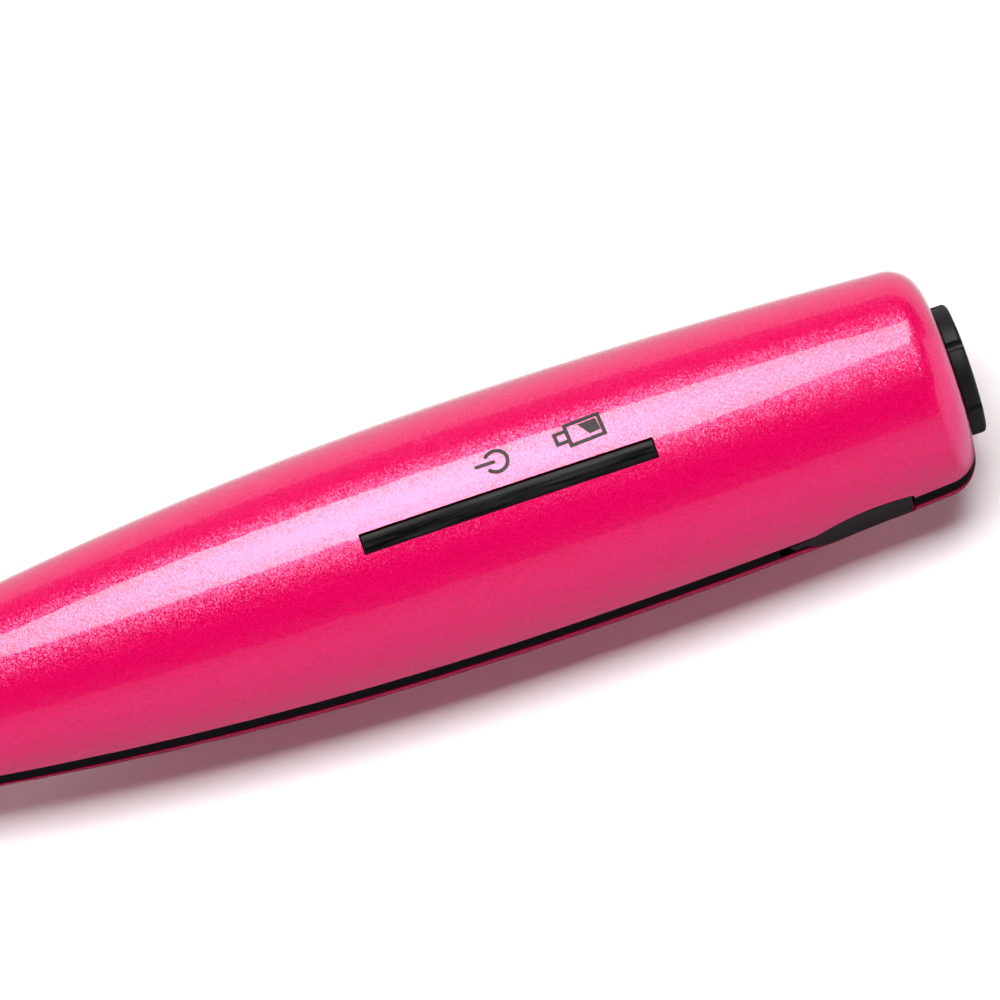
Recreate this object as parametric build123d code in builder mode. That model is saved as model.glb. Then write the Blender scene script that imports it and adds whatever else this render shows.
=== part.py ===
"""Cordless 3-D pen: two half shells on a mid frame, filament feed, hot end and controls.

Frame: origin at the nozzle outlet, +X along the pen's axis to the rear, +Z up. Millimetres.
"""

from build123d import *
from math import acos, cos, pi, radians, sin, sqrt, tan
import os

# ---- barrel outline --------------------------------------------------------------------------
SHELL_FRONT_X = 17.5
SHELL_REAR_X = 159.5
BELLY_X = 106.0            # where the barrel is thickest
BELLY_R = 15.0
FRONT_ARC_R = 444.0        # side outline ahead of the belly
REAR_ARC_R = 741.0         # side outline behind the belly
REAR_EDGE_R = 4.0
WALL = 1.6
REAR_WALL = 2.0
REST_FLAT_DEPTH = 0.45     # cut under the belly so that the pen doesn't roll
BAND_HALF = 1.5            # half height of the mid frame's visible band
BAND_RECESS = 0.1
RIM_WIDTH = 3.0

# ---- fits ------------------------------------------------------------------------------------
SEAT_GAP = 0.05            # fixed piece in its seat
RUN_GAP = 0.05             # shaft in its bearing
MOVE_GAP = 0.3             # moving piece past a fixed one

# ---- filament path ---------------------------------------------------------------------------
STRAND_BORE_R = 1.0
INLET_TUBE_R = 1.6
TUBE_MOUTH = 0.35          # chamfer where the strand enters the inlet tube
FEED_TUBE_R = 1.5
COUPLER_R = 2.4
COUPLER_FRONT_X = 28.3
COUPLER_REAR_X = 34.0

# ---- hot end ---------------------------------------------------------------------------------
NOZZLE_TIP_R = 0.8
NOZZLE_OUTLET_R = 0.35
NOZZLE_R = 2.2
NOZZLE_TAPER_LENGTH = 5.0
NOZZLE_LENGTH = 9.5
NOZZLE_SOCKET_DEPTH = 3.0
NOZZLE_LAND = 1.5          # straight length of the outlet
MELT_TUBE_R = 1.5
MELT_TUBE_REAR_X = 31.0
HEATER_FRONT_X = 9.8
HEATER_LENGTH = 10.0
HEATER_R = 3.0
SENSOR_R = 0.45
SENSOR_OFFSET = 2.3
SENSOR_LENGTH = 5.5
WRAP_THICKNESS = 0.45
BUSH_FLANGE_R = 4.2
BUSH_FLANGE_LENGTH = 1.5
BUSH_R = 3.4
BUSH_FRONT_X = 20.3
BUSH_REAR_X = 28.0
CONE_FRONT_X = 5.0
CONE_TIP_R = 2.9
CONE_TIP_BORE_R = 2.5
CONE_BORE_R = 3.9
CONE_SPIGOT_LENGTH = 2.6
CONE_LIP = 2.0             # length of the narrow bore at the tip
CONE_BULGE = 0.4           # of the cone's side, beyond a straight line
CLAMP_FRONT_X = 22.0
CLAMP_REAR_X = 27.0

# ---- feed drive ------------------------------------------------------------------------------
GEAR_MODULE = 0.5
DRIVE_TEETH = 18
PINION_TEETH = 10
GEAR_BACKLASH = 0.10
PRESSURE_ANGLE = 20.0
TOOTH_HEIGHT = 0.85        # above the pitch circle, in modules
TOOTH_DEPTH = 1.2          # below the pitch circle, in modules
GEAR_WIDTH = 2.3
GEAR_FRONT_X = 69.6
MOTOR_DROP = GEAR_MODULE * (DRIVE_TEETH + PINION_TEETH) / 2
MOTOR_R = 5.0
GEARHEAD_LENGTH = 11.4
MOTOR_LENGTH = 12.5
MOTOR_BOSS_R = 2.0
MOTOR_BOSS_LENGTH = 1.5
MOTOR_SHAFT_R = 1.0
SHAFT_IN_GEARHEAD = 4.0
SLEEVE_R = 2.0
SLEEVE_COLLAR_R = 2.6
SLEEVE_FRONT_X = 57.6
SLEEVE_REAR_X = 77.4
BEARING_R = 3.5
FRONT_BULKHEAD_X = 57.5
FRONT_BULKHEAD_THICKNESS = 3.0
MOTOR_BULKHEAD_X = 72.9
MOTOR_BULKHEAD_THICKNESS = 2.0
BULKHEAD_HALF_WIDTH = 7.0
MOTOR_SCREW_OFFSET = 4.0
MOTOR_SCREW_R = 0.5
MOTOR_SCREW_HEAD_R = 0.8
MOTOR_SCREW_HEAD = 0.5
MOTOR_SCREW_DEPTH = 3.0

# ---- bridges of the mid frame ----------------------------------------------------------------
SADDLE_HALF_WIDTH = 3.4
SADDLE_BOTTOM = -1.9
BOARD_FRONT_BRIDGE_X = 35.6
BOARD_REAR_BRIDGE_X = 45.0
BRIDGE_WIDTH = 2.8
BRIDGE_MARGIN = 0.5        # bridge beyond the column that it carries
PCB_FRONT_BRIDGE_X = 90.0
PCB_REAR_BRIDGE_X = 127.0

# ---- shell screws ----------------------------------------------------------------------------
BOSS_R = 1.8
BOSS_STATIONS = [(51.5, 5.5), (101.8, 6.8), (154.3, 8.4)]
SCREW_R = 0.7
SCREW_HOLE_R = 0.85
SCREW_HEAD_R = 1.3
SCREW_HEAD_HEIGHT = 1.0
SCREW_HEAD_SEAT = -3.5
SCREW_TOP = 5.0

# ---- main board, lights and window -----------------------------------------------------------
PCB_FRONT_X = 86.0
PCB_REAR_X = 146.0
PCB_HALF_WIDTH = 8.6
PCB_BOTTOM = 3.4
PCB_THICKNESS = 1.0
PCB_POST_Y = 6.0
PCB_POST_R = 1.5
PCB_CORNER_R = 1.5
LED_SIZE = (1.6, 1.2, 0.7)
LED_COUNT = 4
CHIPS = [                  # (x, y) on the main board, then length, width and height
    ((108.0, 4.4), (7.0, 7.0, 0.9)),
    ((118.0, 4.2), (5.0, 6.2, 1.4)),
    ((134.0, 3.0), (5.0, 4.0, 1.1)),
    ((134.0, -3.6), (3.2, 3.2, 0.9)),
    ((140.5, 1.5), (4.5, 3.2, 1.8)),
]
WINDOW_X = 107.7
WINDOW_LENGTH = 34.5
WINDOW_WIDTH = 2.45
WINDOW_TILT = 11.0         # degrees from the top towards -Y
WINDOW_RECESS = 0.35

# ---- buttons ---------------------------------------------------------------------------------
BUTTON_BOARD_FRONT_X = 28.1
BUTTON_BOARD_REAR_X = 47.0
BUTTON_BOARD_BOTTOM = 2.6
BUTTON_BOARD_THICKNESS = 0.6
BUTTON_BOARD_HALF_WIDTH = 3.6
BUTTON_BOARD_CORNER_R = 0.8
RIBBON_THICKNESS = 0.3
RIBBON_HALF_WIDTH = 2.5
RIBBON_RISE = 3.0          # length over which the ribbon climbs
SWITCH_SIZE = 3.6
SWITCH_HEIGHT = 0.8
PLUNGER_R = 0.8
PLUNGER_HEIGHT = 0.6
FEED_BUTTON_X = 40.0
FEED_BUTTON_R = 3.2
REVERSE_BUTTON_X = 30.4
REVERSE_BUTTON_R = 2.5
BUTTON_STEP = 0.65         # flange beyond the cap
BUTTON_FLANGE = 0.6
BUTTON_PROUD = 0.8
BUTTON_TRAVEL = 0.5
BUTTON_EDGE = 0.4
STEM_R = 1.2

# ---- battery ---------------------------------------------------------------------------------
BATTERY_FRONT_X = 105.2
BATTERY_LENGTH = 34.0
BATTERY_HALF_WIDTH = 7.8
BATTERY_TOP = -3.4
BATTERY_HEIGHT = 6.2
BATTERY_EDGE = 1.4
PAD_THICKNESS = 0.5
RIB_THICKNESS = 1.4
RIB_HALF_WIDTH = 7.0
BATTERY_RIB_STATIONS = [109.0, 122.0, 135.0]
MOTOR_RIB_X = 94.0
STRIP_THICKNESS = 0.3
STRIP_WIDTH = 2.4
TAB_Y = 5.0
TAB_REACH = 2.0            # below the top of the cell
TERMINAL_Y = 3.4

# ---- charging port ---------------------------------------------------------------------------
SOCKET_X = 144.6
SOCKET_LENGTH = 9.0        # along X
SOCKET_HEIGHT = 3.2
SOCKET_DEPTH = 7.0
SOCKET_WALL = 0.3
SOCKET_CENTRE_Z = -1.55
SOCKET_SETBACK = 2.5       # of the mouth, inside the barrel's outline
TONGUE_LENGTH = 6.4
TONGUE_THICKNESS = 0.7
CHARGE_BOARD_THICKNESS = 0.8
CHARGE_BOARD_OVERHANG = 1.5
SHELF_MARGIN = 1.0
HINGE_X = 136.9
HINGE_DEPTH = 1.05         # hinge pin's centre under the barrel's surface
HINGE_PIN_R = 0.4
KNUCKLE_R = 0.95
KNUCKLE_HALF = 0.7
EAR_SLOT_HALF = 0.9
COVER_REAR_X = 150.8
COVER_TOP = 2.5
COVER_TOP_REAR = 1.9
COVER_BOTTOM = -5.8
COVER_BOTTOM_REAR = -4.7
COVER_NOTCH = (2.2, 0.8)

# ---- rear dial -------------------------------------------------------------------------------
DIAL_R = 7.6
DIAL_THICKNESS = 1.9
DIAL_HUB_R = 4.0
DIAL_TAIL_R = 2.4
DIAL_BORE_R = 1.2
DIAL_FLUTES = 6
FLUTE_R = 0.6
FLUTE_START_ANGLE = 30.0
DIAL_EDGE = 0.5
REAR_BUSH_R = 6.0
REAR_BUSH_FRONT_X = 153.4
DIAL_SENSOR_R = 5.4
DIAL_SENSOR_FRONT_X = 149.9
DIAL_TAIL_FRONT_X = 148.3
CLIP_R = 3.4
CLIP_THICKNESS = 0.5

# ---- values worked out from the ones above ---------------------------------------------------
BOARD_TOP = BUTTON_BOARD_BOTTOM + BUTTON_BOARD_THICKNESS
SWITCH_TOP = BOARD_TOP + SWITCH_HEIGHT
PLUNGER_TOP = SWITCH_TOP + PLUNGER_HEIGHT
PLUNGER_BOTTOM = BOARD_TOP + BUTTON_TRAVEL + 2 * RUN_GAP
PCB_TOP = PCB_BOTTOM + PCB_THICKNESS
MOTOR_FRONT_X = MOTOR_BULKHEAD_X + MOTOR_BULKHEAD_THICKNESS
MOTOR_REAR_X = MOTOR_FRONT_X + GEARHEAD_LENGTH + MOTOR_LENGTH
MOTOR_SCREW_POINTS = [(side * MOTOR_SCREW_OFFSET, -MOTOR_DROP) for side in (-1, 1)]
DRIVE_TIP_R = GEAR_MODULE * (DRIVE_TEETH / 2 + TOOTH_HEIGHT)
BULKHEAD_TOP = DRIVE_TIP_R + MOVE_GAP + SEAT_GAP
BATTERY_BOTTOM = BATTERY_TOP - BATTERY_HEIGHT
HEATER_REAR_X = HEATER_FRONT_X + HEATER_LENGTH
DIAL_FRONT_X = SHELL_REAR_X + MOVE_GAP
DIAL_REAR_X = DIAL_FRONT_X + DIAL_THICKNESS
BOSS_POINTS = [(x, side * y) for x, y in BOSS_STATIONS for side in (-1, 1)]
PCB_POST_POINTS = [
    (x, side * PCB_POST_Y) for x in (PCB_FRONT_BRIDGE_X, PCB_REAR_BRIDGE_X) for side in (-1, 1)
]
FAR = 2 * BELLY_R          # reaches past the barrel from its axis


def barrel_radius(x):
    """Radius of the barrel's outer surface at a station on its axis."""
    arc = FRONT_ARC_R if x < BELLY_X else REAR_ARC_R
    return BELLY_R - arc + sqrt(arc**2 - (x - BELLY_X) ** 2)


HINGE_Y = HINGE_DEPTH - barrel_radius(HINGE_X)
SOCKET_MOUTH_Y = SOCKET_SETBACK - barrel_radius(SOCKET_X)


def barrel(growth, front_x=SHELL_FRONT_X, rear_x=SHELL_REAR_X, edge_r=REAR_EDGE_R):
    """Solid of revolution of the barrel's outline, grown by growth all round."""

    def outline(x):
        return (x, barrel_radius(x) + growth)

    with BuildPart() as solid:
        with BuildSketch(Plane.XZ):
            with BuildLine():
                front = ThreePointArc(
                    outline(front_x), outline((front_x + BELLY_X) / 2), outline(BELLY_X)
                )
                rear = ThreePointArc(
                    outline(BELLY_X), outline((rear_x + BELLY_X) / 2), outline(rear_x)
                )
                Polyline(rear @ 1, (rear_x, 0), (front_x, 0), front @ 0)
            face = make_face()
            fillet(face.vertices().sort_by_distance(rear @ 1)[0], edge_r)
        revolve(axis=Axis.X)
    return solid.part


def rod(front_x, rear_x, radius, z=0.0, y=0.0):
    """Straight round rod along X."""
    with BuildPart() as solid:
        with BuildSketch(Plane.YZ.offset(front_x)):
            with Locations((y, z)):
                Circle(radius)
        extrude(amount=rear_x - front_x)
    return solid.part


def gear(teeth, front_x, z, tooth_angle):
    """Spur gear along X with involute flanks; one tooth points at tooth_angle degrees."""
    pressure = radians(PRESSURE_ANGLE)
    pitch_r = GEAR_MODULE * teeth / 2
    base_r = pitch_r * cos(pressure)
    root_r = pitch_r - TOOTH_DEPTH * GEAR_MODULE
    tip_r = pitch_r + TOOTH_HEIGHT * GEAR_MODULE
    half_pitch = pi / (2 * teeth) - GEAR_BACKLASH / (2 * pitch_r)

    def flank(r):
        roll = acos(min(1.0, base_r / r))
        return half_pitch + (tan(pressure) - pressure) - (tan(roll) - roll)

    start_r = max(base_r, root_r)
    radii = [start_r + (tip_r - start_r) * step / 4 for step in range(5)]
    points = []
    for tooth in range(teeth):
        middle = radians(tooth_angle) + 2 * pi * tooth / teeth
        sides = [(root_r, flank(start_r))] + [(r, flank(r)) for r in radii]
        for r, angle in [(r, -a) for r, a in sides] + sides[::-1]:
            points.append((r * cos(middle + angle), z + r * sin(middle + angle)))
    with BuildPart() as solid:
        with BuildSketch(Plane.YZ.offset(front_x)):
            with BuildLine():
                Polyline(*points, close=True)
            make_face()
        extrude(amount=GEAR_WIDTH)
    return solid.part


def column(points, radius, bottom, top):
    """Upright round columns, one at each (x, y)."""
    with BuildPart() as solid:
        with BuildSketch(Plane.XY.offset(bottom)):
            with Locations(*points):
                Circle(radius)
        extrude(amount=top - bottom)
    return solid.part


def block(x_span, y_span, z_span):
    """Box between two stations on each axis."""
    with BuildPart() as solid:
        middle = [(low + high) / 2 for low, high in (x_span, y_span, z_span)]
        with Locations(tuple(middle)):
            Box(x_span[1] - x_span[0], y_span[1] - y_span[0], z_span[1] - z_span[0])
    return solid.part


# ---- tools that several pieces are cut with --------------------------------------------------
CAVITY_REAR_X = SHELL_REAR_X - REAR_WALL
CAVITY_EDGE_R = REAR_EDGE_R - WALL
outer_barrel = barrel(0)
cavity = barrel(-WALL, SHELL_FRONT_X, CAVITY_REAR_X, CAVITY_EDGE_R)
inside_walls = barrel(-WALL - SEAT_GAP, SHELL_FRONT_X, CAVITY_REAR_X - SEAT_GAP, CAVITY_EDGE_R)
bush_hole = rod(DIAL_TAIL_FRONT_X, DIAL_FRONT_X, REAR_BUSH_R + SEAT_GAP)
boss_reach = barrel(-WALL / 2, SHELL_FRONT_X, CAVITY_REAR_X + WALL / 2, CAVITY_EDGE_R)


def cover_prism(growth, inner_y):
    """Upright lens outline of the port cover, grown, and pushed out sideways through the wall."""
    front_x = HINGE_X + KNUCKLE_R + MOVE_GAP
    middle_x = (front_x + COVER_REAR_X) / 2
    with BuildPart() as solid:
        with BuildSketch(Plane.XZ.offset(-inner_y)):
            with BuildLine():
                top = ThreePointArc(
                    (front_x, KNUCKLE_HALF), (middle_x, COVER_TOP), (COVER_REAR_X, COVER_TOP_REAR)
                )
                bottom = ThreePointArc(
                    (COVER_REAR_X, COVER_BOTTOM_REAR),
                    (middle_x, COVER_BOTTOM),
                    (front_x, -KNUCKLE_HALF),
                )
                Line(top @ 1, bottom @ 0)
                Line(bottom @ 1, top @ 0)
            make_face()
            if growth:
                offset(amount=growth)
        extrude(amount=FAR)
    return solid.part


with BuildPart() as cover_pocket:
    add(cover_prism(MOVE_GAP, -BELLY_R / 2))
    add(barrel(-WALL - MOVE_GAP), mode=Mode.SUBTRACT)

window_plane = Plane(
    origin=(WINDOW_X, 0, 0),
    x_dir=(1, 0, 0),
    z_dir=(0, -sin(radians(WINDOW_TILT)), cos(radians(WINDOW_TILT))),
)


def window_bar(length, width, bottom, top):
    """Bar along the pen that stands on the tilted plane of the window."""
    with BuildPart() as solid:
        with BuildSketch(window_plane.offset(bottom)):
            Rectangle(length, width)
        extrude(amount=top - bottom)
    return solid.part


# ---- shells ----------------------------------------------------------------------------------
with BuildPart() as upper_bosses:
    add(column(BOSS_POINTS, BOSS_R, BAND_HALF, FAR))
    add(boss_reach, mode=Mode.INTERSECT)
    add(column(BOSS_POINTS, SCREW_R, BAND_HALF, SCREW_TOP + SEAT_GAP), mode=Mode.SUBTRACT)

with BuildPart() as upper_shell:
    add(outer_barrel)
    add(cavity, mode=Mode.SUBTRACT)
    split(bisect_by=Plane.XY.offset(BAND_HALF), keep=Keep.TOP)
    add(upper_bosses.part)
    add(
        window_bar(WINDOW_LENGTH, WINDOW_WIDTH, BELLY_R / 2, FAR),
        mode=Mode.SUBTRACT,
    )
    for button_x, button_r in (
        (FEED_BUTTON_X, FEED_BUTTON_R),
        (REVERSE_BUTTON_X, REVERSE_BUTTON_R),
    ):
        add(column([(button_x, 0)], button_r + MOVE_GAP, BAND_HALF, FAR), mode=Mode.SUBTRACT)
    add(cover_pocket.part, mode=Mode.SUBTRACT)
    add(bush_hole, mode=Mode.SUBTRACT)

with BuildPart() as lower_bosses:
    add(column(BOSS_POINTS, BOSS_R, -FAR, -BAND_HALF))
    add(boss_reach, mode=Mode.INTERSECT)

with BuildPart() as lower_ribs:
    for rib_x in BATTERY_RIB_STATIONS:
        add(
            block(
                (rib_x - RIB_THICKNESS / 2, rib_x + RIB_THICKNESS / 2),
                (-RIB_HALF_WIDTH, RIB_HALF_WIDTH),
                (-FAR, BATTERY_BOTTOM - PAD_THICKNESS),
            )
        )
    add(
        block(
            (MOTOR_RIB_X - RIB_THICKNESS / 2, MOTOR_RIB_X + RIB_THICKNESS / 2),
            (-MOTOR_R, MOTOR_R),
            (-FAR, -MOTOR_DROP - MOTOR_R / 3),
        )
    )
    add(boss_reach, mode=Mode.INTERSECT)
    add(
        rod(MOTOR_FRONT_X, MOTOR_REAR_X, MOTOR_R + SEAT_GAP, -MOTOR_DROP),
        mode=Mode.SUBTRACT,
    )

with BuildPart() as lower_shell:
    add(outer_barrel)
    add(cavity, mode=Mode.SUBTRACT)
    split(bisect_by=Plane.XY.offset(-BAND_HALF), keep=Keep.BOTTOM)
    add(lower_bosses.part)
    add(lower_ribs.part)
    add(
        column(BOSS_POINTS, SCREW_HEAD_R + 2 * SEAT_GAP, -FAR, SCREW_HEAD_SEAT),
        mode=Mode.SUBTRACT,
    )
    add(column(BOSS_POINTS, SCREW_HOLE_R, -FAR, 0), mode=Mode.SUBTRACT)
    add(cover_pocket.part, mode=Mode.SUBTRACT)
    add(bush_hole, mode=Mode.SUBTRACT)
    split(bisect_by=Plane.XY.offset(REST_FLAT_DEPTH - BELLY_R), keep=Keep.TOP)

# ---- mid frame -------------------------------------------------------------------------------
FRONT_BOSS_X, MIDDLE_BOSS_X, REAR_BOSS_X = [x for x, _ in BOSS_STATIONS]
BRIDGES = [
    (BOARD_FRONT_BRIDGE_X, BRIDGE_WIDTH, BUTTON_BOARD_BOTTOM),
    (BOARD_REAR_BRIDGE_X, BRIDGE_WIDTH, BUTTON_BOARD_BOTTOM),
    (FRONT_BOSS_X, 2 * (BOSS_R + BRIDGE_MARGIN), BUTTON_BOARD_BOTTOM),
    (PCB_FRONT_BRIDGE_X, 2 * (PCB_POST_R + BRIDGE_MARGIN), PCB_BOTTOM),
    (MIDDLE_BOSS_X, 2 * (BOSS_R + BRIDGE_MARGIN), PCB_BOTTOM),
    (PCB_REAR_BRIDGE_X, 2 * (PCB_POST_R + BRIDGE_MARGIN), PCB_BOTTOM),
]

with BuildPart() as frame_core:
    for bridge_x, bridge_width, saddle_top in BRIDGES:
        x_span = (bridge_x - bridge_width / 2, bridge_x + bridge_width / 2)
        add(block(x_span, (-FAR, FAR), (-BAND_HALF, BAND_HALF)))
        add(block(x_span, (-SADDLE_HALF_WIDTH, SADDLE_HALF_WIDTH), (SADDLE_BOTTOM, saddle_top)))
    add(column(PCB_POST_POINTS, PCB_POST_R, BAND_HALF, PCB_BOTTOM))
    add(block((CLAMP_FRONT_X, CLAMP_REAR_X), (-FAR, FAR), (-FAR, FAR)))
    for bulkhead_x, thickness, bottom in (
        (FRONT_BULKHEAD_X, FRONT_BULKHEAD_THICKNESS, -BULKHEAD_TOP),
        (MOTOR_BULKHEAD_X, MOTOR_BULKHEAD_THICKNESS, -FAR),
    ):
        x_span = (bulkhead_x, bulkhead_x + thickness)
        add(block(x_span, (-FAR, FAR), (-BAND_HALF, BAND_HALF)))
        add(block(x_span, (-BULKHEAD_HALF_WIDTH, BULKHEAD_HALF_WIDTH), (bottom, BULKHEAD_TOP)))
    add(
        block(
            (REAR_BOSS_X - BOSS_R - BRIDGE_MARGIN, CAVITY_REAR_X),
            (-FAR, FAR),
            (-BAND_HALF, BAND_HALF),
        )
    )
    add(inside_walls, mode=Mode.INTERSECT)

CHARGE_BOARD_BOTTOM = SOCKET_CENTRE_Z + SOCKET_HEIGHT / 2
SHELF_BOTTOM = CHARGE_BOARD_BOTTOM + CHARGE_BOARD_THICKNESS
SOCKET_SPAN = (SOCKET_X - SOCKET_LENGTH / 2, SOCKET_X + SOCKET_LENGTH / 2)
SOCKET_INNER_Y = SOCKET_MOUTH_Y + SOCKET_DEPTH

with BuildPart() as frame_rim:
    add(barrel(-BAND_RECESS))
    add(barrel(-RIM_WIDTH, SHELL_FRONT_X, CAVITY_REAR_X, CAVITY_EDGE_R / 2), mode=Mode.SUBTRACT)
    add(block((0, DIAL_REAR_X), (-FAR, FAR), (-BAND_HALF, BAND_HALF)), mode=Mode.INTERSECT)

with BuildPart() as nose_room:
    add(cavity)
    add(block((0, CLAMP_FRONT_X), (-FAR, FAR), (-FAR, FAR)), mode=Mode.INTERSECT)

with BuildPart() as mid_frame:
    add(frame_rim.part)
    add(nose_room.part, mode=Mode.SUBTRACT)
    add(frame_core.part)
    add(
        block(
            (SOCKET_SPAN[0] - SHELF_MARGIN, SOCKET_SPAN[1] + SHELF_MARGIN),
            ((RIM_WIDTH + WALL) / 2 - barrel_radius(COVER_REAR_X), SOCKET_INNER_Y),
            (SHELF_BOTTOM, BAND_HALF),
        )
    )
    add(cover_pocket.part, mode=Mode.SUBTRACT)
    add(
        block(
            (SOCKET_SPAN[0] - MOVE_GAP, SOCKET_SPAN[1] + MOVE_GAP),
            (-FAR, SOCKET_INNER_Y),
            (-FAR, SHELF_BOTTOM),
        ),
        mode=Mode.SUBTRACT,
    )
    # hinge slot of the port cover, with its pin hole through the two ears
    add(
        block(
            (HINGE_X - 2 * HINGE_DEPTH, HINGE_X + 2 * KNUCKLE_R),
            (-FAR, HINGE_Y + KNUCKLE_R + MOVE_GAP),
            (-EAR_SLOT_HALF, EAR_SLOT_HALF),
        ),
        mode=Mode.SUBTRACT,
    )
    with Locations((HINGE_X, HINGE_Y, 0)):
        Cylinder(HINGE_PIN_R + SEAT_GAP / 2, 4 * BAND_HALF, mode=Mode.SUBTRACT)
    # strand path and its tubes, bearings, motor boss and dial bush
    for front_x, rear_x, radius, axis_z in (
        (SHELL_FRONT_X, CLAMP_REAR_X, BUSH_R + SEAT_GAP, 0),
        (CLAMP_REAR_X, SLEEVE_FRONT_X, FEED_TUBE_R + SEAT_GAP, 0),
        (FRONT_BULKHEAD_X, GEAR_FRONT_X + GEAR_WIDTH, BEARING_R + SEAT_GAP, 0),
        (GEAR_FRONT_X, MOTOR_FRONT_X, BEARING_R + SEAT_GAP, 0),
        (GEAR_FRONT_X, MOTOR_FRONT_X, MOTOR_BOSS_R + SEAT_GAP, -MOTOR_DROP),
        (MOTOR_FRONT_X, DIAL_TAIL_FRONT_X, INLET_TUBE_R + SEAT_GAP, 0),
        (DIAL_TAIL_FRONT_X, SHELL_REAR_X + 1, REAR_BUSH_R + SEAT_GAP, 0),
    ):
        add(rod(front_x, rear_x, radius, axis_z), mode=Mode.SUBTRACT)
    for screw_y, screw_z in MOTOR_SCREW_POINTS:
        add(
            rod(GEAR_FRONT_X, MOTOR_FRONT_X, MOTOR_SCREW_R + SEAT_GAP, screw_z, screw_y),
            mode=Mode.SUBTRACT,
        )
    add(column(BOSS_POINTS, SCREW_HOLE_R, -FAR, FAR), mode=Mode.SUBTRACT)
    add(column(PCB_POST_POINTS, SCREW_R, -BAND_HALF, FAR), mode=Mode.SUBTRACT)

with BuildPart() as light_window:
    add(
        window_bar(
            WINDOW_LENGTH - 2 * SEAT_GAP, WINDOW_WIDTH - 2 * SEAT_GAP, BELLY_R - 2 * WALL, FAR
        )
    )
    add(barrel(-WINDOW_RECESS), mode=Mode.INTERSECT)

# ---- window light guide and lamps ------------------------------------------------------------

GUIDE_BOTTOM = PCB_TOP + LED_SIZE[2] + MOVE_GAP
GUIDE_TOP = BELLY_R - 2 * WALL

with BuildPart() as light_guide:
    add(window_bar(WINDOW_LENGTH - WINDOW_WIDTH, WINDOW_WIDTH, GUIDE_BOTTOM, GUIDE_TOP))
    guide_corners = light_guide.edges().filter_by(Axis((0, 0, 0), window_plane.z_dir))
    fillet(guide_corners, WINDOW_WIDTH / 5)

LED_PITCH = WINDOW_LENGTH / LED_COUNT
LED_Y = -PCB_TOP * tan(radians(WINDOW_TILT))

with BuildPart() as status_leds:
    with Locations((WINDOW_X, LED_Y, PCB_TOP + LED_SIZE[2] / 2)):
        with GridLocations(LED_PITCH, 1, LED_COUNT, 1):
            Box(*LED_SIZE)

# ---- boards ----------------------------------------------------------------------------------
with BuildPart() as main_pcb:
    add(
        block(
            (PCB_FRONT_X, PCB_REAR_X),
            (-PCB_HALF_WIDTH, PCB_HALF_WIDTH),
            (PCB_BOTTOM, PCB_TOP),
        )
    )
    fillet(main_pcb.edges().filter_by(Axis.Z), PCB_CORNER_R)
    add(column(BOSS_POINTS, BOSS_R + MOVE_GAP, 0, FAR), mode=Mode.SUBTRACT)
    add(column(PCB_POST_POINTS, SCREW_HOLE_R, 0, FAR), mode=Mode.SUBTRACT)

with BuildPart() as pcb_screws:
    add(column(PCB_POST_POINTS, SCREW_R, -BAND_HALF / 3, PCB_TOP))
    add(column(PCB_POST_POINTS, SCREW_HEAD_R, PCB_TOP, PCB_TOP + SCREW_HEAD_HEIGHT))

with BuildPart() as pcb_chips:
    for (chip_x, chip_y), (length, width, height) in CHIPS:
        with Locations((chip_x, chip_y, PCB_TOP + height / 2)):
            Box(length, width, height)

with BuildPart() as button_board:
    add(
        block(
            (BUTTON_BOARD_FRONT_X, BUTTON_BOARD_REAR_X),
            (-BUTTON_BOARD_HALF_WIDTH, BUTTON_BOARD_HALF_WIDTH),
            (BUTTON_BOARD_BOTTOM, BOARD_TOP),
        )
    )
    fillet(button_board.edges().filter_by(Axis.Z), BUTTON_BOARD_CORNER_R)

RIBBON_LEVEL = BULKHEAD_TOP + SEAT_GAP

with BuildPart() as ribbon_cable:
    middle_z = RIBBON_THICKNESS / 2
    with BuildSketch(Plane.XZ.offset(-RIBBON_HALF_WIDTH)):
        with BuildLine():
            FilletPolyline(
                (BUTTON_BOARD_REAR_X - RIBBON_RISE, BOARD_TOP + middle_z),
                (BUTTON_BOARD_REAR_X, BOARD_TOP + middle_z),
                (BUTTON_BOARD_REAR_X + RIBBON_RISE, RIBBON_LEVEL + middle_z),
                (PCB_FRONT_X - RIBBON_RISE, RIBBON_LEVEL + middle_z),
                (PCB_FRONT_X, PCB_TOP + middle_z),
                (PCB_FRONT_X + RIBBON_RISE, PCB_TOP + middle_z),
                radius=RIBBON_RISE / 3,
            )
        trace(line_width=RIBBON_THICKNESS)
    extrude(amount=2 * RIBBON_HALF_WIDTH)

# ---- buttons and their switches --------------------------------------------------------------


def switch_body(x):
    """Square switch housing with a well for its plunger."""
    with BuildPart() as body:
        with Locations((x, 0, BOARD_TOP + SWITCH_HEIGHT / 2)):
            Box(SWITCH_SIZE, SWITCH_SIZE, SWITCH_HEIGHT)
        fillet(body.edges().filter_by(Axis.Z), SWITCH_SIZE / 10)
        add(column([(x, 0)], PLUNGER_R + 2 * RUN_GAP, BOARD_TOP, FAR), mode=Mode.SUBTRACT)
    return body.part


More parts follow.
